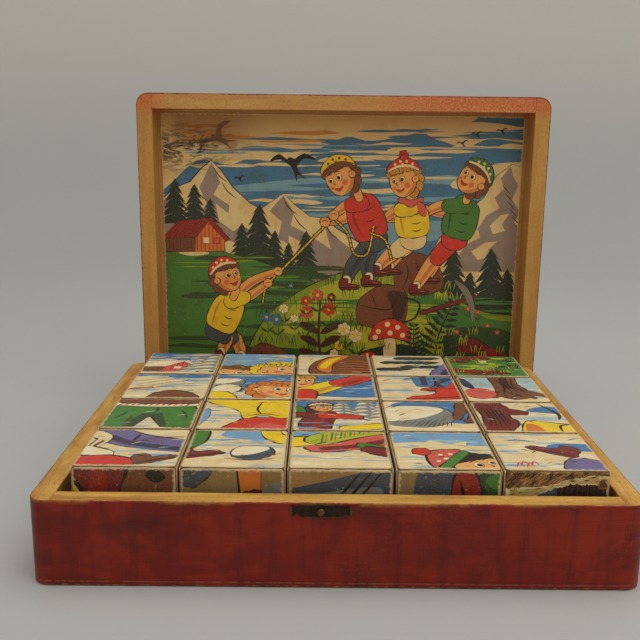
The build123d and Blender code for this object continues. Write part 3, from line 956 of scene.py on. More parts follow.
    far.line("dark_brown", [93+12j, 90+34j, 91+58j], 1.6, blunt=0.6)
    for side in (-1, 1):
        for y in (20, 28, 36):
            far.blob("dark_brown", [91 + 1j * y, 91 + side * 6 + 1j * (y + 6),
                91 + side * 12 + 1j * (y + 6), 91 + side * 6 + 1j * (y + 1)], 0.2, steps=3)
    for x, y, tall, ink in ((84, 34, 18, "rose"), (97, 36, 18, "red"), (90, 46, 16, "rose"),
            (98, 48, 12, "maroon"), (83, 45, 13, "red"), (106, 24, 18, "white"), (113, 20, 18, "cream"),
            (103, 18, 13, "yellow"), (70, 40, 13, "white"), (76, 36, 11, "white"), (60, 34, 14, "deep_sky"),
            (66, 32, 15, "deep_sky"), (74, 58, 8, "deep_sky"), (100, 14, 12, "white")):
        flower(sheet.pen(x + 1j * y, tall, 4), ink, 6)
    rucksack(sheet.pen(127+43j, 30))
    far.blob("fir", [118+26j, 140+30j, 150+24j, 134+18j, 114+20j], steps=3)
    toadstool(sheet.pen(132+23j, 22))
    toadstool(sheet.pen(120+12j, 13))
    fern(sheet.pen(160+12j, 44, 4))
    fern(sheet.pen(154+10j, 32, 30))
    pickaxe(sheet.pen(166+54j, 30))
    for x, y, size, ink in ((182, 26, 18, "maroon"), (194, 20, 18, "dark_red"), (60, 18, 26, "brown"),
            (102, 14, 14, "brown")):
        rock(sheet.pen(x + 1j * y, size), ink)
    for x, y in ((178, 46), (184, 44), (190, 36), (196, 32), (172, 32)):
        flower(sheet.pen(x + 1j * y, 7), "rose", 5)
    grass(sheet.pen(40+10j, 10), "fir", 34, 15, 1.8, 0.5)
    grass(sheet.pen(150+12j, 10), "lime", 16, 5, 2.4, 0.5)
    return sheet


def broadleaf(pen, ink="green"):
    """A round tree one unit high."""
    pen.limb("brown", [0j, 0.02+0.3j, 0.5j], [0.12, 0.09, 0.07])
    pen.blob(ink, [-0.3+0.4j, -0.38+0.62j, -0.2+0.84j, 0.02+0.98j, 0.26+0.84j, 0.38+0.6j, 0.24+0.42j,
        0.0+0.48j], 0.35)
    pen.blob("leaf", [-0.24+0.6j, -0.1+0.84j, 0.1+0.86j, 0.04+0.7j, -0.1+0.62j], steps=3)
    for k in range(6):
        foot = cmath.rect(0.24, k) + 0.66j
        pen.line("ink", [foot, foot + 0.05 + 0.03j, foot + 0.1], 0.3)


def boat(pen, sail="rose"):
    """A sailing boat one unit long."""
    pen.fill(sail, [0.02+0.16j, 0.04+0.98j, 0.5+0.2j], 0.3)
    pen.fill("white", [-0.03+0.18j, -0.02+0.8j, -0.36+0.22j], 0.3)
    pen.line("dark_brown", [0j, 1.02j], 0.5, blunt=0.9)
    pen.blob("brown", [-0.5+0.14j, -0.36-0.04j, 0.3-0.05j, 0.56+0.16j, 0.1j], 0.35)


def lake_picture():
    """Boats on a lake under hills, and children on the bank."""
    sheet = Sheet("pale_sky", 1.6)
    streaks(sheet.pen(110j, 200), "cloud", 14, 0.8, 0.22, 0.02)
    flat = sheet.pen()
    flat.blob("slate", [-9+96j, 30+120j, 64+102j, 100+126j, 150+100j, 206+118j, 206+80j, -9+80j], 0.3)
    flat.blob("green", [-9+84j, 40+100j, 90+88j, 140+98j, 206+84j, 206+70j, -9+70j], 0.3)
    flat.fill("deep_sky", [-9+82j, 206+82j, 206+20j, -9+20j])
    streaks(sheet.pen(24j, 200), "sky", 26, 0.9, 0.28, 0.007)
    streaks(sheet.pen(24j, 200), "white", 10, 0.9, 0.26, 0.004)
    for x, y, size, sail in ((30, 62, 34, "rose"), (96, 66, 24, "yellow"), (150, 56, 42, "white"),
            (66, 44, 30, "orange")):
        boat(sheet.pen(x + 1j * y, size, 2), sail)
    flat.blob("khaki", [-9+30j, 30+34j, 80+24j, 130+34j, 206+26j, 206-9j, -9-9j], 0.4)
    flat.blob("leaf", [-9+16j, 60+18j, 110+8j, 110-9j, -9-9j], 0.3)
    figure(sheet, 9, neck=44 + 50j, hips=40 + 26j, hands=[66+48j, 62+40j], feet=[50+8j, 34+6j], shirt="red",
        shorts="navy", skull=46 + 62j, hair="ochre", cap="white", band="red")
    figure(sheet, 9, neck=126 + 52j, hips=130 + 28j, hands=[106+46j, 104+40j], feet=[140+8j, 122+6j],
        shirt="yellow", shorts="green", skull=124 + 64j, hair="brown", cap="orange", turned=True)
    for x in (84, 96, 172, 184):
        fern(sheet.pen(x + 4j, 30, 3))
    for x in (10, 20, 158, 166, 190):
        flower(sheet.pen(x + 6j, 14), "violet")
    grass(sheet.pen(0j, 10), "dark_green", 34, 19, 2, 0.6)
    return sheet


def farm_picture():
    """A farm with fields, trees and a child flying a kite."""
    sheet = Sheet("sky", 1.6)
    streaks(sheet.pen(100j, 200), "white", 16, 0.8, 0.26, 0.024)
    flat = sheet.pen()
    flat.blob("green", [-9+80j, 50+96j, 110+84j, 206+100j, 206+40j, -9+40j], 0.3)
    flat.blob("ochre", [-9+66j, 60+80j, 120+66j, 206+82j, 206+30j, -9+30j], 0.3)
    for k in range(20):
        flat.line("brown", [complex(-4 + 11 * k, 30), complex(4 + 10 * k, 50), complex(20 + 9 * k, 72)], 0.5)
    hut(sheet.pen(120+62j, 54), "rose", "maroon")
    hut(sheet.pen(20+72j, 34), "cream", "brown")
    for x, y, tall, ink in ((10, 50, 46, "green"), (76, 56, 40, "dark_green"), (186, 50, 60, "green"),
            (104, 60, 30, "leaf")):
        broadleaf(sheet.pen(x + 1j * y, tall), ink)
    flat.blob("lime", [-9+36j, 50+46j, 120+34j, 206+44j, 206-9j, -9-9j], 0.4)
    flat.blob("khaki", [60-9j, 84+20j, 110+36j, 122+34j, 110+16j, 104-9j], 0.3)
    figure(sheet, 9, neck=60 + 56j, hips=56 + 32j, hands=[80+70j, 76+50j], feet=[68+10j, 50+8j],
        shirt="sky", shorts="maroon", skull=62 + 68j, hair="dark_brown", cap="yellow", band="red")
    flat.fill("red", [120+120j, 136+134j, 150+118j, 132+98j], 0.4)
    flat.fill("yellow", [136+134j, 150+118j, 132+118j])
    flat.line("ink", [80+70j, 110+84j, 132+98j], 0.4)
    for x in (14, 26, 130, 146, 160, 176):
        flower(sheet.pen(x + 6j, 18), "red" if x % 4 else "white", 7)
    toadstool(sheet.pen(190+8j, 14))
    grass(sheet.pen(0j, 10), "green", 34, 19, 3, 0.6)
    return sheet


# ---------------------------------------------------------------- fragments on the cubes, one unit wide
def snowy_ground(sheet):
    """The common ground of the winter prints: cream snow with blue, brushed shadows."""
    streaks(sheet.pen(-6+0j, 44), "sky", 10, 0.8, 0.9, 0.026)
    streaks(sheet.pen(-6+0j, 44), "pale_sky", 9, 0.8, 0.9, 0.03)
    streaks(sheet.pen(-6+0j, 44), "white", 9, 0.8, 0.9, 0.03)


WHOLE_TILE = [-1-1j, 2-1j, 2+2j, -1+2j]


# The back row of the winter picture, from the left
def hut_and_fir(pen):
    pen.blob("deep_sky", [-0.1+0.62j, 0.3+0.7j, 0.6+0.5j, 1.1+0.4j, 1.1+1.1j, -0.1+1.1j])
    streaks(pen.pen(-0.1+0.6j), "cream", 8, 0.9, 0.4, 0.04)
    hut(pen.pen(-0.2+0.08j, 1.0), "rose", snow=True)
    for x, tall in ((0.76, 0.8), (0.94, 1.0)):
        fir(pen.pen(x + 0.06j, tall), "grey", snow=True)


def two_heads(pen):
    pen.fill("sky", WHOLE_TILE)
    streaks(pen.pen(-0.1+0.3j), "pale_sky", 7, 0.9, 0.6, 0.03)
    streaks(pen.pen(0.1+0.7j), "cream", 3, 0.8, 0.3, 0.05)
    head(pen.pen(0.24+0.02j, 0.34, -8), "brown", None)
    head(pen.pen(0.8+0.2j, 0.34, 10), "yellow", None)
    for k in range(9):
        pen.line("ink", [0.5 + 0.07 * k + 0.34j, 0.54 + 0.07 * k + 0.5j, 0.58 + 0.06 * k + 0.4j], 0.3)


def log_end(pen):
    pen.blob("brown", [0.3-0.2j, 0.2+0.5j, 0.56+0.92j, 1.2+1j, 1.2-0.2j], 0.5)
    pen.blob("orange", [0.26+0.3j, 0.4+0.78j, 0.7+0.96j, 0.66+0.8j, 0.48+0.5j, 0.44+0.1j], 0.35)
    pen.blob("yellow", [0.3+0.36j, 0.42+0.72j, 0.6+0.86j, 0.5+0.64j, 0.38+0.3j], steps=3)
    for k in range(6):
        pen.line("ink", [0.5 + 0.1j * k + 0.05j, 0.8 + 0.12j * k, 1.1 + 0.1j * k], 0.5)
        pen.line("orange", [0.54 + 0.1j * k + 0.1j, 0.8 + 0.12j * k + 0.05j, 1.1 + 0.1j * k + 0.05j], 0.8)


def far_slope(pen):
    streaks(pen.pen(0.1j), "deep_sky", 4, 0.9, 0.8, 0.03)
    for x, y, long in ((0.1, 0.62, 0.7), (0.3, 0.84, 0.5), (0.36, 0.42, 0.5), (0.02, 0.3, 0.3)):
        at = complex(x, y)
        for k in range(5):
            foot = at + long * k / 5
            pen.blob("fir", [foot, foot + 0.12 + 0.07j, foot + 0.26 + 0.02j, foot + 0.16 - 0.05j,
                foot + 0.06 - 0.08j], 0.15, steps=3)
    pen.blob("violet", [0.74+0j, 0.84+0.34j, 1.1+0.66j, 1.1-0.1j], 0.4)
    pen.blob("navy", [0.86+0j, 0.92+0.26j, 1.1+0.4j, 1.1-0.1j], steps=3)


def meadow(pen):
    pen.fill("green", WHOLE_TILE)
    streaks(pen.pen(-0.1+0.1j), "lime", 9, 0.9, 0.8, 0.05)
    streaks(pen.pen(0.3+0.3j), "fir", 5, 0.8, 0.6, 0.05)
    for x, y, size in ((0.06, 0.24, 0.3), (0.3, 0.14, 0.34), (0.56, 0.18, 0.3), (0.26, 0.8, 0.3),
            (0.46, 0.86, 0.3), (0.12, 0.7, 0.2)):
        rock(pen.pen(complex(x, y), size), "dark_red")
        rock(pen.pen(complex(x + 0.08, y - 0.05), size * 0.7), "maroon")
    grass(pen.pen(0.1j, 0.1), "lime", 16, 9, 7, 1.3)
    grass(pen.pen(0.5+0.2j, 0.1), "fir", 8, 5, 7, 1.3)
    flower(pen.pen(0.5+0.5j, 0.26), "white")


# The third row
def ski_tracks(pen):
    pen.blob("deep_sky", [-0.1+0.86j, 0.3+0.92j, 0.7+0.8j, 1.1+0.9j, 1.1+1.1j, -0.1+1.1j])
    streaks(pen.pen(0.1+0.4j), "sky", 7, 0.8, 0.6, 0.03)
    for k in range(4):
        pen.line("slate", [0.0 + 1j * (0.2 + 0.14 * k), 0.5 + 1j * (0.5 + 0.13 * k),
            1.0 + 1j * (0.66 + 0.13 * k)], 0.6)
    pen.limb("orange", [-0.1+0.3j, 0.3+0.42j], [0.02, 0.03])
    pen.blob("brown", [0.34-0.1j, 0.38+0.2j, 0.6+0.3j, 0.86+0.16j, 0.9-0.1j], 0.4)


def thrower(pen):
    pen.fill("deep_sky", [-1+0.3j, 2+0.2j, 2+2j, -1+2j])
    streaks(pen.pen(0.6j), "pale_sky", 6, 0.9, 0.4, 0.03)
    pen.blob("cream", [0.46+0.5j, 0.56+0.66j, 0.66+0.5j, 0.7+0.2j, 0.4+0.16j])
    snowball(pen.pen(0.18+0.66j, 0.4), "white", "grey")
    pen.limb("white", [0.2+0.4j, 0.1+0.2j], [0.34, 0.28], 0.5)
    pen.limb("yellow", [0.12+0.1j, 0.2-0.1j], [0.36, 0.36], 0.5, "ochre")
    head(pen.pen(0.78+0.36j, 0.32, -6), "orange", None)


def thrown(pen):
    pen.blob("deep_sky", [0.1+0.3j, 0.3+1.1j, 1.1+1.1j, 1.1+0.2j, 0.5+0.1j])
    streaks(pen.pen(0.3+0.2j), "pale_sky", 9, 0.6, 0.7, 0.03)
    pen.limb("yellow", [0.1+0.24j, 0.36+0.5j, 0.6+0.7j], [0.36, 0.34, 0.26], 0.5, "ochre")
    pen.limb("red", [0.58+0.68j, 0.84+0.88j], [0.32, 0.26], 0.5, "dark_red")
    pen.limb("red", [0.04-0.1j, 0.12+0.26j], [0.36, 0.3], 0.5)
    head(pen.pen(0.74j, 0.27), "ochre", None)


def booted_legs(pen):
    streaks(pen.pen(-0.1+0.3j), "sky", 6, 0.8, 0.6, 0.05)
    pen.limb("deep_sky", [0.94+1.0j, 0.74+0.76j, 0.86+0.52j], [0.4, 0.34, 0.26], 0.5, "navy")
    pen.limb("deep_sky", [0.6+1.1j, 0.6+0.66j], [0.3, 0.24], 0.5, "navy")
    shoe(pen.pen(0.94+0.42j, 0.62, 0, True), "red")
    shoe(pen.pen(0.8+0.14j, 0.74, 12, True), "red")


def old_tree(pen):
    pen.fill("pale_sky", [-1+0.5j, 2+0.5j, 2+2j, -1+2j])
    pen.limb("brown", [0.6+1.1j, 0.58+0.7j, 0.62+0.3j], [0.36, 0.3, 0.44], 0.5, "dark_brown")
    for reach in (-0.3, -0.1, 0.2, 0.5):
        pen.limb("brown", [0.62+0.42j, 0.62 + reach * 0.6 + 0.26j, 0.62 + reach + 0.14j], [0.2, 0.12, 0.04],
            0.4)
    for k in range(4):
        pen.line("ink", [0.48 + 0.08 * k + 0.96j, 0.54 + 0.04 * k + 0.6j, 0.5 + 0.1 * k + 0.3j], 0.6)
    pen.dot("rose", 0.2+0.3j, 0.2, 0.4)
    pen.blob("navy", [-0.02+0.98j, 0.06+0.6j, 0.16+0.5j, 0.12+0.8j], 0.4)


# The second row
def green_trousers(pen):
    pen.fill("green", [0.08+0.8j, -0.02+0.5j, -0.14+0.1j, 0.02+0.04j, 0.36+0.05j, 0.44+0.34j, 0.52+0.36j,
        0.66+0.05j, 1.0+0.04j, 1.14+0.1j, 1.0+0.5j, 0.9+0.8j], 0.7)
    pen.fill("dark_green", [0.24+0.06j, 0.36+0.05j, 0.44+0.34j, 0.52+0.36j, 0.64+0.05j, 0.72+0.06j,
        0.6+0.5j, 0.38+0.48j])
    for a, b in ((0.1+0.3j, 0.2+0.56j), (0.8+0.6j, 0.9+0.3j), (0.5+0.5j, 0.52+0.7j),
            (0.24+0.2j, 0.28+0.4j)):
        pen.line("fir", [a, (a + b) / 2 + 0.02, b], 1.1)
    pen.limb("white", [0.06+0.8j, 0.5+0.76j, 0.92+0.8j], [0.1, 0.1, 0.1], 0.4)
    for k in range(12):
        pen.line("red", [0.06 + 0.07 * k + 0.75j, 0.1 + 0.07 * k + 0.83j], 1.0, blunt=0.8)
    pen.blob("brown", [0.04+0.86j, 0.1+1.1j, 0.9+1.1j, 0.96+0.86j, 0.5+0.82j], 0.5)
    for k in range(5):
        pen.line("maroon", [0.2 + 0.14 * k + 0.88j, 0.26 + 0.14 * k + 0.98j], 1.4)


def jacket(pen):
    pen.blob("red", [0.3-0.1j, 0.44+0.26j, 0.6+0.36j, 1.1+0.34j, 1.1-0.1j], 0.5)
    pen.blob("rose", [0.6-0.1j, 0.7+0.2j, 0.96+0.1j, 1.1-0.1j], steps=3)
    pen.blob("yellow", [0.5+0.34j, 0.4+0.62j, 0.1+0.84j, 0.04+1.08j, 1.1+1.1j, 1.1+0.5j, 0.9+0.36j,
        0.7+0.46j], 0.5)
    for fold in (0.5+0.7j, 0.6+0.84j, 0.82+0.8j, 0.74+0.5j):
        pen.line("orange", [fold, fold + 0.08 + 0.06j, fold + 0.16], 0.8)
    pen.line("ink", [0.66+0.9j, 0.62+0.66j, 0.68+0.48j], 0.6)
    pen.line("ink", [0.5+0.4j, 0.7+0.5j, 0.9+0.42j], 0.5)
    pen.blob("sky", [-0.1+0.4j, 0.06+0.66j, 0.1+0.4j, 0.1j], 0.3)


def far_skier(pen):
    pen.blob("deep_sky", [-0.1+0.42j, 0.2+0.5j, 0.6+0.44j, 1.1+0.52j, 1.1+1.1j, -0.1+1.1j])
    for x, y, tall in ((0.84, 0.3, 0.8), (0.56, 0.4, 0.62), (1.04, 0.3, 0.7)):
        fir(pen.pen(complex(x, y), tall), "grey", snow=True)
    pen.blob("green", [-0.1+0.5j, 0.06+0.8j, 0.16+0.5j, 0.36j], 0.4)
    pen.limb("maroon", [0.24+0.08j, 0.32+0.5j], [0.34, 0.36], 0.5, "dark_red")
    pen.limb("maroon", [0.26+0.46j, -0.04+0.52j], [0.17, 0.13], 0.4)
    pen.limb("red", [0.36+0.46j, 0.72+0.42j], [0.17, 0.13], 0.4)
    head(pen.pen(0.32+0.74j, 0.15), "dark_brown", "maroon")
    pen.limb("yellow", [0.58+0.06j, 0.98+0.14j], [0.14, 0.16], 0.4)
    streaks(pen.pen(-0.1+0j), "sky", 4, 0.8, 0.3, 0.03)


def big_snowball(pen):
    pen.blob("deep_sky", [0.1+0.8j, 0.3+0.98j, 1.1+0.96j, 1.1+0.3j, 0.6+0.3j, 0.5+0.7j])
    snowball(pen.pen(0.34+0.48j, 0.86))
    for k in range(9):
        pen.line("ink", [0.3 + 0.05 * k + 0.14j, 0.4 + 0.04 * k + 0.3j], 0.3)
    pen.limb("brown", [0.96+0.94j, 0.88+0.66j, 0.8+0.4j], [0.2, 0.13, 0.08], 0.4)
    pen.limb("brown", [1.06+0.7j, 0.98+0.4j, 0.9+0.32j], [0.16, 0.1, 0.07], 0.4)


def shaggy(pen):
    pen.blob("deep_sky", [0.6+0.7j, 0.8+0.84j, 1.1+0.8j, 1.1+0.6j, 0.8+0.62j])
    pen.blob("pale_sky", [0.4+0.4j, 0.7+0.5j, 1.1+0.44j, 0.8+0.36j])
    pen.blob("maroon", [0.02+0j, 0.08+0.5j, 0.04+0.94j, 0.3+1.02j, 0.42+0.76j, 0.6+0.66j, 0.56+0.56j,
        0.36+0.54j, 0.42+0.3j, 0.3+0.04j], 0.5)
    for k in range(5):
        pen.line("ink", [0.1 + 0.05 * k + 0.8j, 0.14 + 0.04 * k + 0.5j, 0.1 + 0.06 * k + 0.16j], 0.6)
    pen.blob("yellow", [0.46-0.1j, 0.5+0.3j, 0.64+0.34j, 0.96+0.24j, 1.1+0.3j, 1.1-0.1j], 0.5)
    pen.blob("orange", [0.46-0.1j, 0.5+0.24j, 0.62+0.2j, 0.66-0.1j], steps=3)
    pen.line("ink", [0.84-0.0j, 0.86+0.2j, 0.98+0.24j], 0.7)
    pen.line("ink", [0.78+0.96j, 0.94+0.6j, 0.9+0.4j], 1.0)


# The front row
def trousers_and_sled(pen):
    pen.limb("violet", [0.2+0.86j, 0.5+0.66j, 1.06+0.5j], [0.4, 0.36, 0.3], 0.5, "navy")
    pen.line("ink", [0.5+0.84j, 0.46+0.66j], 0.9)
    pen.line("maroon", [0.14+0.72j, 0.4+0.62j, 0.66+0.74j, 0.96+0.78j], 0.9, blunt=0.8)
    pen.limb("cream", [0.04+0.84j, 0.16+0.74j, 0.1+0.5j], [0.2, 0.14, 0.1], 0.4)
    pen.line("maroon", [0.16+0.66j, 0.1+0.46j, 0.24+0.3j], 1.6, blunt=0.8)
    pen.limb("white", [0.02+0.4j, 0.24+0.3j], [0.22, 0.2], 0.5)
    pen.limb("red", [-0.1+0.12j, 0.3+0.14j, 0.54+0.1j], [0.22, 0.24, 0.12], 0.5)
    shoe(pen.pen(0.72+0.14j, 0.42, 24), "brown")


def boot_and_ball(pen):
    pen.blob("sky", [0.3+0.84j, 0.5+1.1j, 0.9+1.1j, 0.86+0.76j, 0.6+0.72j])
    pen.blob("green", [-0.1+0.5j, -0.1+1.1j, 0.14+1.1j, 0.16+0.7j, 0.06+0.5j], 0.5)
    shoe(pen.pen(0.06+0.28j, 0.5, 14), "maroon")
    snowball(pen.pen(0.66+0.38j, 0.42), "white", "slate")
    pen.line("slate", [0.4+0.22j, 0.66+0.18j, 0.9+0.24j], 0.9)
    pen.limb("yellow", [0.8+1.1j, 0.84+0.86j, 0.96+0.72j], [0.22, 0.2, 0.2], 0.5)


def plaid(pen):
    pen.blob("sky", [-0.1+0.84j, 0.1+1.1j, 0.3+1.1j, 0.26+0.8j])
    pen.limb("rose", [0.3+0.56j, 0.7+0.66j, 1.06+0.86j], [0.3, 0.34, 0.4], 0.5, "maroon")
    pen.limb("yellow", [0.66j, 0.24+0.72j], [0.26, 0.24], 0.5)
    pen.limb("lime", [0.3+0.74j, 0.62+0.94j, 0.9+1.06j], [0.3, 0.3, 0.3], 0.5)
    for k in range(6):
        a = 0.32 + 0.1 * k + 1j * (0.66 + 0.06 * k)
        pen.line("green", [a, a + 0.02 + 0.24j], 0.9, blunt=0.8)
        pen.line("red", [a + 0.04, a + 0.06 + 0.24j], 0.5, blunt=0.8)
    pen.limb("green", [0.74+0.6j, 1.0+0.44j], [0.12, 0.2], 0.5)
    pen.limb("maroon", [0.8+0.48j, 1.06+0.36j], [0.16, 0.2], 0.5)


def bobble_hat(pen):
    pen.fill("sky", [-1+0.56j, 0.3+0.7j, 0.5+0.64j, 2+0.5j, 2+2j, -1+2j])
    streaks(pen.pen(0.5j), "pale_sky", 5, 0.8, 0.4, 0.03)
    pen.fill("cream", [0.1+0.4j, 0.4+0.76j, 0.6+0.64j, 0.78+0.74j, 0.74+0.5j, 0.4+0.3j])
    head(pen.pen(0.78+0.06j, 0.3, 24), "ink", None)
    pen.blob("rose", [0.36+0.06j, 0.34+0.4j, 0.56+0.5j, 0.7+0.42j, 0.5+0.06j], 0.5)
    for spot in (0.42+0.2j, 0.46+0.36j, 0.56+0.38j, 0.5+0.26j):
        pen.dot("white", spot, 0.025)
    pen.limb("green", [0.46+0.04j, 0.7+0.42j], [0.1, 0.1], 0.4)
    pen.dot("red", 0.28+0.44j, 0.09, 0.4)


def far_boot(pen):
    pen.blob("deep_sky", [0.54+0.6j, 0.7+0.7j, 1.1+0.66j, 1.1+0.5j, 0.8+0.5j])
    shoe(pen.pen(0.62+0.44j, 0.5, -28, True), "maroon")
    pen.blob("violet", [0.6+0j, 0.66+0.26j, 0.84+0.3j, 1.0+0.2j, 0.96+0j], 0.4)
    pen.line("ink", [0.14+0.78j, 0.3+0.79j, 0.42+0.76j], 0.5)
    for k in range(4):
        foot = complex(0.12 + 0.05 * k, 0.06 + 0.04 * (k % 2))
        pen.line("red", [foot, foot + 0.05 + 0.12j, foot + 0.08 + 0.02j], 0.8)


# From the tray's front row to its back row, each from the left to the right
WINTER_TILES = [
    [trousers_and_sled, boot_and_ball, plaid, bobble_hat, far_boot],
    [green_trousers, jacket, far_skier, big_snowball, shaggy],
    [ski_tracks, thrower, thrown, booted_legs, old_tree],
    [hut_and_fir, two_heads, log_end, far_slope, meadow],
]


def winter_tile(row, column):
    """One face of the winter picture, 39 mm square, drawn in units of its side."""
    sheet = Sheet("cream", 1.9)
    sheet.random.seed(10 * row + column)
    pen = sheet.pen(size=TILE)
    snowy_ground(sheet)
    WINTER_TILES[row][column](pen)
    for _ in range(14):
        foot = complex(sheet.random.uniform(0.05, 0.85), sheet.random.uniform(0.1, 0.9))
        reach = cmath.rect(sheet.random.uniform(0.06, 0.16), sheet.random.uniform(-0.4, 0.9))
        pen.line(sheet.random.choice(["ink", "slate", "brown", "deep_sky", "white"]),
            [foot, foot + reach / 2 + 0.01j, foot + reach], 0.4)
    return sheet


# The front faces of the front row, from the left
def dark_coat(pen):
    pen.blob("maroon", [-0.1+0.3j, 0.06+1.1j, 0.5+1.1j, 0.44+0.7j, 0.4+0.3j], 0.8)
    pen.blob("dark_red", [0.12+0.3j, 0.2+0.96j, 0.34+0.9j, 0.32+0.3j])
    pen.blob("ink", [-0.1+0.5j, 0.9j, 0.16+0.66j, 0.1+0.4j])
    pen.line("yellow", [-0.02+0.86j, 0.06+0.74j, 0.12+0.6j], 1.6)
    for k in range(6):
        pen.line("brown", [0.56 + 0.06 * k + 0.98j, 0.6 + 0.06 * k + 0.8j, 0.58 + 0.06 * k + 0.6j], 1.0)
    pen.blob("ink", [0.7+0.92j, 0.8+0.98j, 0.9+0.9j, 0.8+0.84j])


def leaf_and_leg(pen):
    pen.blob("slate", [0.02+0.86j, 0.1+1.0j, 0.3+0.98j, 0.24+0.88j, 0.12+0.8j], 0.3)
    pen.limb("orange", [0.66+1.1j, 0.68+0.6j], [0.24, 0.16], 0.5)
    pen.blob("maroon", [0.56+0.7j, 0.66+0.76j, 0.84+0.74j, 0.8+0.6j, 0.6+0.6j], 0.5)
    pen.blob("grey", [0.8+0.8j, 0.9+0.86j, 1.1+0.8j, 1.1+0.6j, 0.8+0.66j])


def pale_band(pen):
    pen.blob("tan", [-0.1+0.8j, 0.3+0.86j, 0.7+0.96j, 1.1+0.98j, 1.1+1.1j, -0.1+1.1j])
    pen.blob("grey", [0.2+0.7j, 0.6+0.8j, 0.9+0.8j, 0.8+0.6j])
    for k in range(3):
        pen.line("ink", [0.4 + 0.1 * k + 0.6j, 0.56 + 0.1 * k + 0.8j, 0.7 + 0.1 * k + 0.98j], 0.6)


def shoe_and_hill(pen):
    pen.blob("slate", [0.2+0.6j, 0.2+0.96j, 0.5+0.98j, 0.6+0.7j, 0.5+0.5j])
    pen.blob("dark_green", [0.6+0.5j, 0.76+0.94j, 1.1+1.0j, 1.1+0.5j], 0.4)
    pen.blob("green", [0.84+0.9j, 1.0+0.98j, 1.1+0.9j, 0.96+0.8j])
    pen.blob("dark_red", [0.54+0.6j, 0.56+0.94j, 0.7+1.0j, 0.8+0.8j, 0.76+0.56j], 0.7)
    pen.line("ink", [0.6+0.9j, 0.66+0.7j, 0.74+0.66j], 0.9)


def stripes(pen):
    pen.blob("slate", [0.3+0.3j, 0.34+0.9j, 0.5+0.9j, 0.5+0.3j], 0.4)
    for k in range(10):
        pen.line("ink", [0.52 + 0.05 * k + 1.0j, 0.52 + 0.05 * k + 0.6j], 1.1, blunt=0.9)


FRONT_TILES = [
    ("brown", dark_coat),
    ("khaki", leaf_and_leg),
    ("slate", pale_band),
    ("khaki", shoe_and_hill),
    ("maroon", stripes),
]


def front_tile(column):
    """The front faces of the front row, whose upper ends show over the tray's rim."""
    ground, draw = FRONT_TILES[column]
    sheet = Sheet(ground, 1.6)
    sheet.random.seed(90 + column)
    draw(sheet.pen(size=TILE))
    return sheet


# ---------------------------------------------------------------- sheets of paper
def clipped(points, low, high):
    """The part of a closed outline inside the rectangle between two corners."""
    for turn, limit in ((1, low.real), (-1, -high.real), (-1j, low.imag), (1j, -high.imag)):
        kept = []
        for a, b in zip(points, points[1:] + points[:1]):
            over_a = (a * turn).real - limit
            over_b = (b * turn).real - limit
            if over_a >= 0:
                kept.append(a)
            if (over_a < 0) != (over_b < 0):
                kept.append(a + (b - a) * over_a / (over_a - over_b))
        points = kept
    return points


def covered(places, outline):
    """Which of the places (rows of x and y) lie inside a closed outline."""
    result = np.zeros(len(places), bool)
    a = np.array([(point.real, point.imag) for point in outline])
    b = np.roll(a, -1, axis=0)
    close = np.flatnonzero(((places >= a.min(axis=0)) & (places <= a.max(axis=0))).all(axis=1))
    if len(close):
        x, y = places[close].T[:, :, None]
        rise = b[:, 1] - a[:, 1]
        meets = a[:, 0] + (y - a[:, 1]) * (b[:, 0] - a[:, 0]) / np.where(rise == 0, 1, rise)
        upwards = (a[:, 1] <= y) & (b[:, 1] > y) & (x < meets)
        downwards = (a[:, 1] > y) & (b[:, 1] <= y) & (x < meets)
        result[close] = upwards.sum(axis=1) != downwards.sum(axis=1)
    return result


def flattened(sheet, outline, lines=()):
    """A drawing cut to an outline, as points, triangles that don't overlap, and the ink of each."""
    low = complex(min(p.real for p in outline), min(p.imag for p in outline))
    high = complex(max(p.real for p in outline), max(p.imag for p in outline))
    shapes = [(ink, clipped(points, low, high)) for ink, points in sheet.shapes]
    shapes = [(ink, points) for ink, points in shapes if len(points) > 2]
    points, edges = [], []
    for loop in [outline] + [shape for _, shape in shapes]:
        first = len(points)
        points += loop
        edges += [(first + i, first + (i + 1) % len(loop)) for i in range(len(loop))]
    for line in lines:
        edges.append((len(points), len(points) + 1))
        points += line
    places, _, triangles = delaunay_2d_cdt([Vector((p.real, p.imag)) for p in points], edges, [], 0, 1e-4)[:3]
    places = np.array([tuple(place) for place in places])
    triangles = np.array([triangle for triangle in triangles if len(triangle) == 3])
    centres = places[triangles].mean(axis=1)
    inks = np.full(len(triangles), list(INKS).index(sheet.ground))
    for ink, shape in shapes:
        inks[covered(centres, shape)] = list(INKS).index(ink)
    kept = covered(centres, outline)
    used, triangles = np.unique(triangles[kept], return_inverse=True)
    return places[used], triangles.reshape(-1, 3), inks[kept]


def between(a, b, spacing=2.5):
    """Points spread between two others."""
    count = max(1, int(abs(b - a) / spacing))
    return [a + (b - a) * k / count for k in range(1, count)]


def cut_edge(half_x, half_y, corner, ragged, seed):
    """The outline of a sheet around 0, with rubbed corners and a slightly ragged edge."""
    chance = random.Random(seed)
    outline = []
    for k, (side_x, side_y) in enumerate(((1, -1), (1, 1), (-1, 1), (-1, -1))):
        centre = complex(side_x * (half_x - corner), side_y * (half_y - corner))
        arc = [centre + cmath.rect(corner, math.radians(90 * k - 90 + turn)) for turn in (0, 22, 45, 68, 90)]
        if outline:
            outline += between(outline[-1], arc[0])
        outline += arc
    outline += between(outline[-1], outline[0])
    return [point * (1 - ragged * chance.random() / abs(point)) for point in outline]


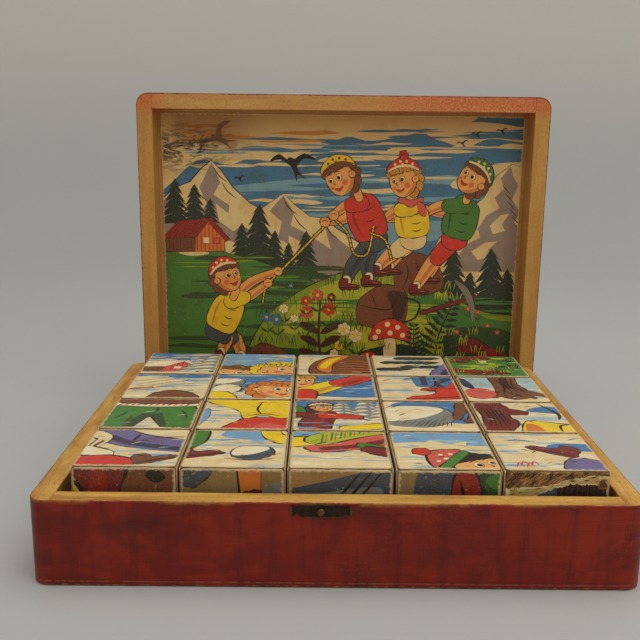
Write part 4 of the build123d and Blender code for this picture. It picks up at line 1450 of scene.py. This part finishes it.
def paper_mesh(name, sheets, half_x, half_y, thickness):
    """One mesh of printed sheets, each given as a flattened drawing, its middle and a placing rule."""
    corners, faces, colours, places = [], [], [], []
    inks = np.array(list(INK_COLOURS.values()))
    for (flat, triangles, triangle_inks), middle, put in sheets:
        first = len(corners)
        flat = flat - (middle.real, middle.imag)
        corners += [put(x, y, 0.0) for x, y in flat]
        faces += (triangles + first).tolist()
        colours.append(np.repeat(inks[triangle_inks], 3, axis=0))
        places.append(flat[triangles.ravel()])
        # The edges used once go round the outline; under them hangs the paper's thickness
        sides = np.concatenate([triangles[:, (0, 1)], triangles[:, (1, 2)], triangles[:, (2, 0)]]).tolist()
        present = {tuple(side) for side in sides}
        ahead = {a: b for a, b in present if (b, a) not in present}
        start = a = next(iter(ahead))
        loop = []
        while not loop or a != start:
            loop.append(a)
            a = ahead[a]
        under = len(corners)
        corners += [put(*flat[i], -thickness) for i in loop]
        for i, a in enumerate(loop):
            j = (i + 1) % len(loop)
            faces.append([a + first, under + i, under + j, loop[j] + first])
            places.append(flat[[a, a, loop[j], loop[j]]])
        faces.append([under + i for i in reversed(range(len(loop)))])
        places.append(flat[loop[::-1]])
        colours.append(np.tile(INK_COLOURS["paper"], (5 * len(loop), 1)))
    mesh = bpy.data.meshes.new(name)
    mesh.from_pydata(corners, [], faces)
    ink = mesh.color_attributes.new("ink", "FLOAT_COLOR", "CORNER")
    ink.data.foreach_set("color", np.concatenate(colours).astype(np.float32).ravel())
    share = np.concatenate(places) / (2 * half_x, 2 * half_y) + 0.5
    mesh.uv_layers.new(name="sheet").data.foreach_set("uv", share.astype(np.float32).ravel())
    return mesh


def place_piece(name, mesh, material, body, covers=None):
    """Puts a mesh in the scene, riding a body of the frame."""
    mesh.materials.append(material)
    piece = bpy.data.objects.new(name, mesh)
    bpy.context.scene.collection.objects.link(piece)
    if covers:
        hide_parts(covers)
    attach(piece, body)
    return piece


# ---------------------------------------------------------------- cubes
UP, FRONT = 0, 1
X_AXIS, Y_AXIS, Z_AXIS = Vector((1, 0, 0)), Vector((0, 1, 0)), Vector((0, 0, 1))
# The directions to the right and up on the top, front, right, back, left and bottom faces
FACES = [
    (X_AXIS, Y_AXIS),
    (X_AXIS, Z_AXIS),
    (Y_AXIS, Z_AXIS),
    (-X_AXIS, Z_AXIS),
    (-Y_AXIS, Z_AXIS),
    (X_AXIS, -Y_AXIS),
]
# The torn front print, from right to left, in millimetres from its middle: where its paper ends, and
# where its printed skin ends below that
TEAR = [19.4+17.6j, 15.8+17.9j, 11.6+17.8j, 9.4+16.9j, 4.2+16.5j, 0.4+14.6j, -5.8+13.3j, -12+12.8j,
    -19.4+12.2j]
SKIN = [19.4+13.7j, 14.7+14.3j, 4.7+14.6j, 2.2+13.3j, -1.4+12.6j, -4.4+11.2j, -8.0+9.6j, -13+8.6j, -19.4+7.8j]


def on_cube(row, column, face):
    """A rule that puts a point of a sheet, bent over at its rim, on one face of a cube."""
    count = row * COLUMNS + column
    low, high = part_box(f"cube_r{row + 1}_c{column + 1}_core")
    middle = (low + high) / 2
    turn = Matrix.Rotation(math.radians(CUBE_TURN * math.sin(3.7 * count + 2)), 3, "Z")
    right, up = (turn @ axis for axis in FACES[face])
    outward = right.cross(up)

    def bent(value, radius):
        over = max(abs(value) - FLAT_HALF, 0.0) / FOLD
        flat = min(abs(value), FLAT_HALF)
        return math.copysign(flat + radius * math.sin(over), value), radius * (1 - math.cos(over))

    def put(x, y, lift):
        x, x_drop = bent(x, FOLD + lift)
        y, y_drop = bent(y, FOLD + lift)
        return middle + (right * x + up * y + outward * (PRINT_HALF + lift - x_drop - y_drop)) * MM

    return put


def jagged(line, seed, reach):
    """A torn line with small steps along it."""
    chance = random.Random(seed)
    edge = []
    for a, b in zip(line, line[1:]):
        edge += [a] + between(a, b, 0.6)
    edge.append(line[-1])
    return [point + 1j * reach * (chance.random() - 0.5) for point in edge]


def tile_outline(seed, torn):
    """The outline of a cube's sheet; the torn one lacks everything above the tear."""
    outline = cut_edge(SHEET_HALF, SHEET_HALF, 1.7, 0.3, seed)
    if torn:
        outline = [point for point in outline if point.imag < 11.8]
        turn_back = next(i for i, point in enumerate(outline) if point.real < 0)
        outline[turn_back:turn_back] = jagged(TEAR, 3, 0.6)
    return outline


def with_painted_gap_shade(drawing, middle):
    """A copy of a drawing with painted shade round one tile's border: dark fibre and tan strips, drawn like
    rubbed, dirty paper, for the cube sides seen in the gaps.
    """
    worn = Sheet(drawing.ground, drawing.weight)
    worn.shapes = list(drawing.shapes)
    pen = worn.pen(middle)
    # Painted shade: dark strips along the border darken the sides where they show in the gaps between cubes
    for k in range(4):
        start, end = (SHEET_HALF * complex(side, -1) * 1j**k for side in (-1, 1))
        points = [start] + between(start, end, 3) + [end]
        points = [point * (1 + 0.02 * math.sin(5 * i)) for i, point in enumerate(points)]
        pen.line("fibre", points, 3.4, steps=1, blunt=0.8)
        pen.line("tan", [point * 1.01 for point in points], 1.8, steps=1, blunt=0.7)
    return worn


def bared(drawing, middle):
    """The torn print's bare backing above its skin, with brown fibres stuck to it."""
    skin = [point + middle for point in jagged(SKIN, 8, 0.9)]
    drawing.shapes.append(("backing", skin + [point + 12j for point in reversed(skin)]))
    drawing.shapes.append(("cream", skin + [point + 0.45j for point in reversed(skin)]))
    pen = drawing.pen(middle)
    chance = drawing.random
    for _ in range(70):
        foot = complex(chance.uniform(-18, 18), chance.uniform(10, 18))
        if foot.imag > np.interp(foot.real, [p.real for p in SKIN[::-1]], [p.imag for p in SKIN[::-1]]) + 0.5:
            pen.line(chance.choice(["fibre", "tan", "cream", "dark_brown"]),
                [foot, foot + chance.uniform(0.8, 2.6) + 0.4j], 0.4)
    pen.blob("fibre", [15.2+13.4j, 15.4+15.6j, 17.2+16.6j, 19.0+15.4j, 18.6+13.2j, 17+12.4j])
    for k in range(5):
        pen.line("dark_brown", [15.8 + 0.6 * k + 13.2j, 16.4 + 0.6 * k + 15.8j], 0.5)
    for at in (5.4+15.8j, 10.6+16.0j, 13.2+17.2j):
        pen.blob("dark_brown", [at - 1, at + 0.3j, at + 1.1 + 0.1j, at - 0.3j], steps=3)


def cube_papers(row, column, pictures, order, material):
    """The six prints of one cube."""
    sheets = []
    for face in range(6):
        torn = (row, column, face) == (0, COLUMNS - 1, FRONT)
        middle = complex(TILE, TILE) / 2
        if face == UP:
            drawing = winter_tile(row, column)
        elif face == FRONT and row == 0:
            drawing = front_tile(column)
        else:
            tile = order[(row * COLUMNS + column + 7 * face) % len(order)]
            middle += MARGIN + TILE * complex(tile % COLUMNS, tile // COLUMNS)
            # The other faces show a tile of a picture, with painted shade round its border
            drawing = with_painted_gap_shade(pictures[(face + row) % len(pictures)], middle)
        seed = 100 * row + 10 * column + face
        outline = [point + middle for point in tile_outline(seed, torn)]
        if torn:
            bared(drawing, middle)
        # Straight cuts where the paper starts to bend over, so that its fold is even
        lines = []
        for level in (FLAT_HALF, FLAT_HALF + 0.35, FLAT_HALF + 0.7):
            for corner in (complex(level, -20), complex(-level, -20)):
                lines.append([middle + corner, middle + corner.conjugate()])
                lines.append([middle + corner * 1j, middle + corner.conjugate() * 1j])
        sheets.append((flattened(drawing, outline, lines), middle, on_cube(row, column, face)))
    name = f"cube_r{row + 1}_c{column + 1}"
    mesh = paper_mesh(f"{name}_papers", sheets, SHEET_HALF, SHEET_HALF, PAPER)
    mesh.polygons.foreach_set("use_smooth", [len(face.vertices) == 3 for face in mesh.polygons])
    place_piece(f"{name}_papers", mesh, material, name, f"{name}_prints")


def torn_fibres():
    """The ridged board laid bare where the front print of the last cube in the front row is torn off."""
    put = on_cube(0, COLUMNS - 1, FRONT)
    columns, rows = 150, 30
    tear = sorted(TEAR, key=lambda point: point.real)
    corners, faces = [], []
    for j in range(rows + 1):
        for i in range(columns + 1):
            x = -19.1 + i * (38.2 / columns)
            foot = float(np.interp(x, [p.real for p in tear], [p.imag for p in tear])) - 0.7
            y = foot + (19.3 - foot) * j / rows
            along = Vector((x * 0.35 + y * 0.5, (x - y) * 1.1, 0))
            ridge = noise.fractal(along, 0.8, 2.0, 4) + 0.5 * noise.noise(Vector((x * 2.4, y * 2.4, 3)))
            edge = min(i, columns - i, j, rows - j) / 2
            lift = -0.3 + min(0.28, max(-0.02, 0.1 + 0.34 * ridge)) * min(edge, 1.0)
            corners.append(put(x, y, lift - (0.02 if edge == 0 else 0)))
    for j in range(rows):
        for i in range(columns):
            a = j * (columns + 1) + i
            faces.append([a, a + 1, a + columns + 2, a + columns + 1])
    mesh = bpy.data.meshes.new("torn_fibres")
    mesh.from_pydata(corners, [], faces)
    mesh.polygons.foreach_set("use_smooth", [True] * len(faces))
    wood = pressed_fibre("torn_fibre", srgb(166, 124, 70), srgb(128, 90, 50), ridged=True)
    place_piece("torn_fibres", mesh, wood, f"cube_r1_c{COLUMNS}")


def dress_cubes():
    """Board and papers for all cubes."""
    pictures = [alpine_picture(), lake_picture(), farm_picture()]
    order = list(range(ROWS * COLUMNS))
    random.Random(5).shuffle(order)
    board = pressed_fibre("board", srgb(158, 122, 72), srgb(116, 82, 46))
    paper = printed_paper("cube_paper", (2 * SHEET_HALF, 2 * SHEET_HALF), 1.3)
    for row in range(ROWS):
        for column in range(COLUMNS):
            nodes[f"cube_r{row + 1}_c{column + 1}_core"].material_slots[0].material = board
            cube_papers(row, column, pictures, order, paper)
    torn_fibres()


def dress_lid():
    """The big picture inside the lid."""
    size = (picture_high - picture_low) / MM
    half_x, half_y = size.x / 2, size.z / 2
    centre = (picture_low + picture_high) / 2

    def put(x, y, lift):
        return Vector((centre.x + x * MM, picture_low.y - lift * MM, centre.z + y * MM))

    middle = complex(half_x, half_y)
    outline = [point + middle for point in cut_edge(half_x, half_y, 2.0, 0.3, 11)]
    flat = flattened(alpine_picture(), outline)
    mesh = paper_mesh("lid_picture", [(flat, middle, put)], half_x, half_y, LID_PAPER)
    # The lid's picture gets stains and, along its top edge, painted shade from the lid's rim
    paper = printed_paper("lid_paper", (size.x, size.z), 0.9, damp_and_rim_shade=True)
    place_piece("lid_picture", mesh, paper, "lid", "lid_picture_sheet")


dress_box()
for catch in ("catch_plate", "catch_stud"):
    nodes[catch].material_slots[0].material = patina(f"{catch}_brass")
dress_cubes()
dress_lid()


# ---------------------------------------------------------------- studio
FLOOR_RADIUS = 0.7
WALL_CURVE = 0.6
WALL_HEIGHT = 1.5
SIDES = 64


def backdrop():
    """A pale bowl: a round floor that curves up into a wall."""
    profile = [(0.2, 0.0), (0.45, 0.0), (FLOOR_RADIUS, 0.0)]
    for k in range(1, 13):
        angle = math.radians(7.5 * k)
        profile.append((FLOOR_RADIUS + WALL_CURVE * math.sin(angle), WALL_CURVE * (1 - math.cos(angle))))
    profile.append((FLOOR_RADIUS + WALL_CURVE, WALL_HEIGHT))
    bowl = bmesh.new()
    rings = []
    for radius, height in profile:
        spokes = [cmath.rect(radius, math.tau * k / SIDES) for k in range(SIDES)]
        rings.append([bowl.verts.new((spoke.real, spoke.imag, height - 0.0002)) for spoke in spokes])
    bowl.faces.new(rings[0])
    for inner, outer in zip(rings, rings[1:]):
        for k in range(SIDES):
            j = (k + 1) % SIDES
            bowl.faces.new((inner[k], outer[k], outer[j], inner[j]))
    mesh = bpy.data.meshes.new("studio_bowl")
    bowl.to_mesh(mesh)
    bowl.free()
    mesh.polygons.foreach_set("use_smooth", [True] * len(mesh.polygons))
    mesh.materials.append(studio_paper())
    piece = bpy.data.objects.new("studio_bowl", mesh)
    bpy.context.scene.collection.objects.link(piece)
    piece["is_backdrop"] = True


def studio_paper():
    """Pale grey paper, with painted light that makes it a little lighter and warmer up the wall."""
    shader = Shader("studio_paper")
    place = shader.add("ShaderNodeTexCoord", output=3)
    tint = shader.noise(place, 1.2, 2.0)
    fine = shader.noise(place, 400.0, 2.0)
    height = shader.split(place)[2]
    colour = shader.mix(tint, srgb(187, 188, 184), srgb(183, 184, 182))
    # Painted light: the wall is made lighter and warmer as it rises, in place of the light that falls there
    colour = shader.mix(shader.step(height, 0.08, 0.42), colour, srgb(211, 208, 201))
    return shader.finish(colour, 0.85, fine, depth=0.00005, strength=0.2)


def softbox(name, at, target, size, power, colour):
    """A rectangular studio light."""
    light = bpy.data.lights.new(name, "AREA")
    light.shape = "RECTANGLE"
    light.size, light.size_y = size
    light.energy = power
    light.color = colour
    lamp = bpy.data.objects.new(name, light)
    lamp.location = at
    lamp.rotation_euler = (Vector(at) - Vector(target)).to_track_quat("Z", "Y").to_euler()
    bpy.context.scene.collection.objects.link(lamp)
    lamp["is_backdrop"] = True


CAMERA_MM = Vector((-8.73, -372.34, 165.20))
CAMERA_TURN = (0.2566, 12.838, -0.672)  # degrees to the right, downwards and clockwise
LENS_MM = 47.48
SENSOR_MM = 36


def camera():
    """The camera: close in front, a little below the top of the lid, looking slightly down."""
    yaw, pitch, roll = (math.radians(value) for value in CAMERA_TURN)
    forward = Vector((math.sin(yaw) * math.cos(pitch), math.cos(yaw) * math.cos(pitch), -math.sin(pitch)))
    right = Vector((math.cos(yaw), -math.sin(yaw), 0))
    down = forward.cross(right)
    tilted_right = math.cos(roll) * right + math.sin(roll) * down
    tilted_down = math.cos(roll) * down - math.sin(roll) * right
    made = bpy.data.objects.new("camera", bpy.data.cameras.new("camera"))
    made.data.lens = LENS_MM
    made.data.sensor_width = SENSOR_MM
    made.data.clip_start = 0.01
    turn = Matrix((tilted_right, -tilted_down, -forward)).transposed()
    made.matrix_world = Matrix.Translation(CAMERA_MM * MM) @ turn.to_4x4()
    bpy.context.scene.collection.objects.link(made)
    bpy.context.scene.camera = made


backdrop()
camera()
softbox("overhead", (0.1, -0.1, 1.25), (0, 0.05, 0.05), (1.4, 1.2), 10.4, (1.0, 0.985, 0.96))
softbox("front_fill", (0.75, -0.75, 0.8), (0, 0.05, 0.1), (0.7, 0.6), 2.1, (1.0, 0.98, 0.95))
world = bpy.data.worlds.new("studio_air")
world.use_nodes = True
world.node_tree.nodes["Background"].inputs[0].default_value = (1.0, 0.99, 0.97, 1)
world.node_tree.nodes["Background"].inputs[1].default_value = 0.25
bpy.context.scene.world = world
bpy.context.scene.view_settings.view_transform = "Standard"

boxes = {"cad": cad_box, "visual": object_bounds()}
{name: [list(corner) for corner in box] for name, box in boxes.items()}
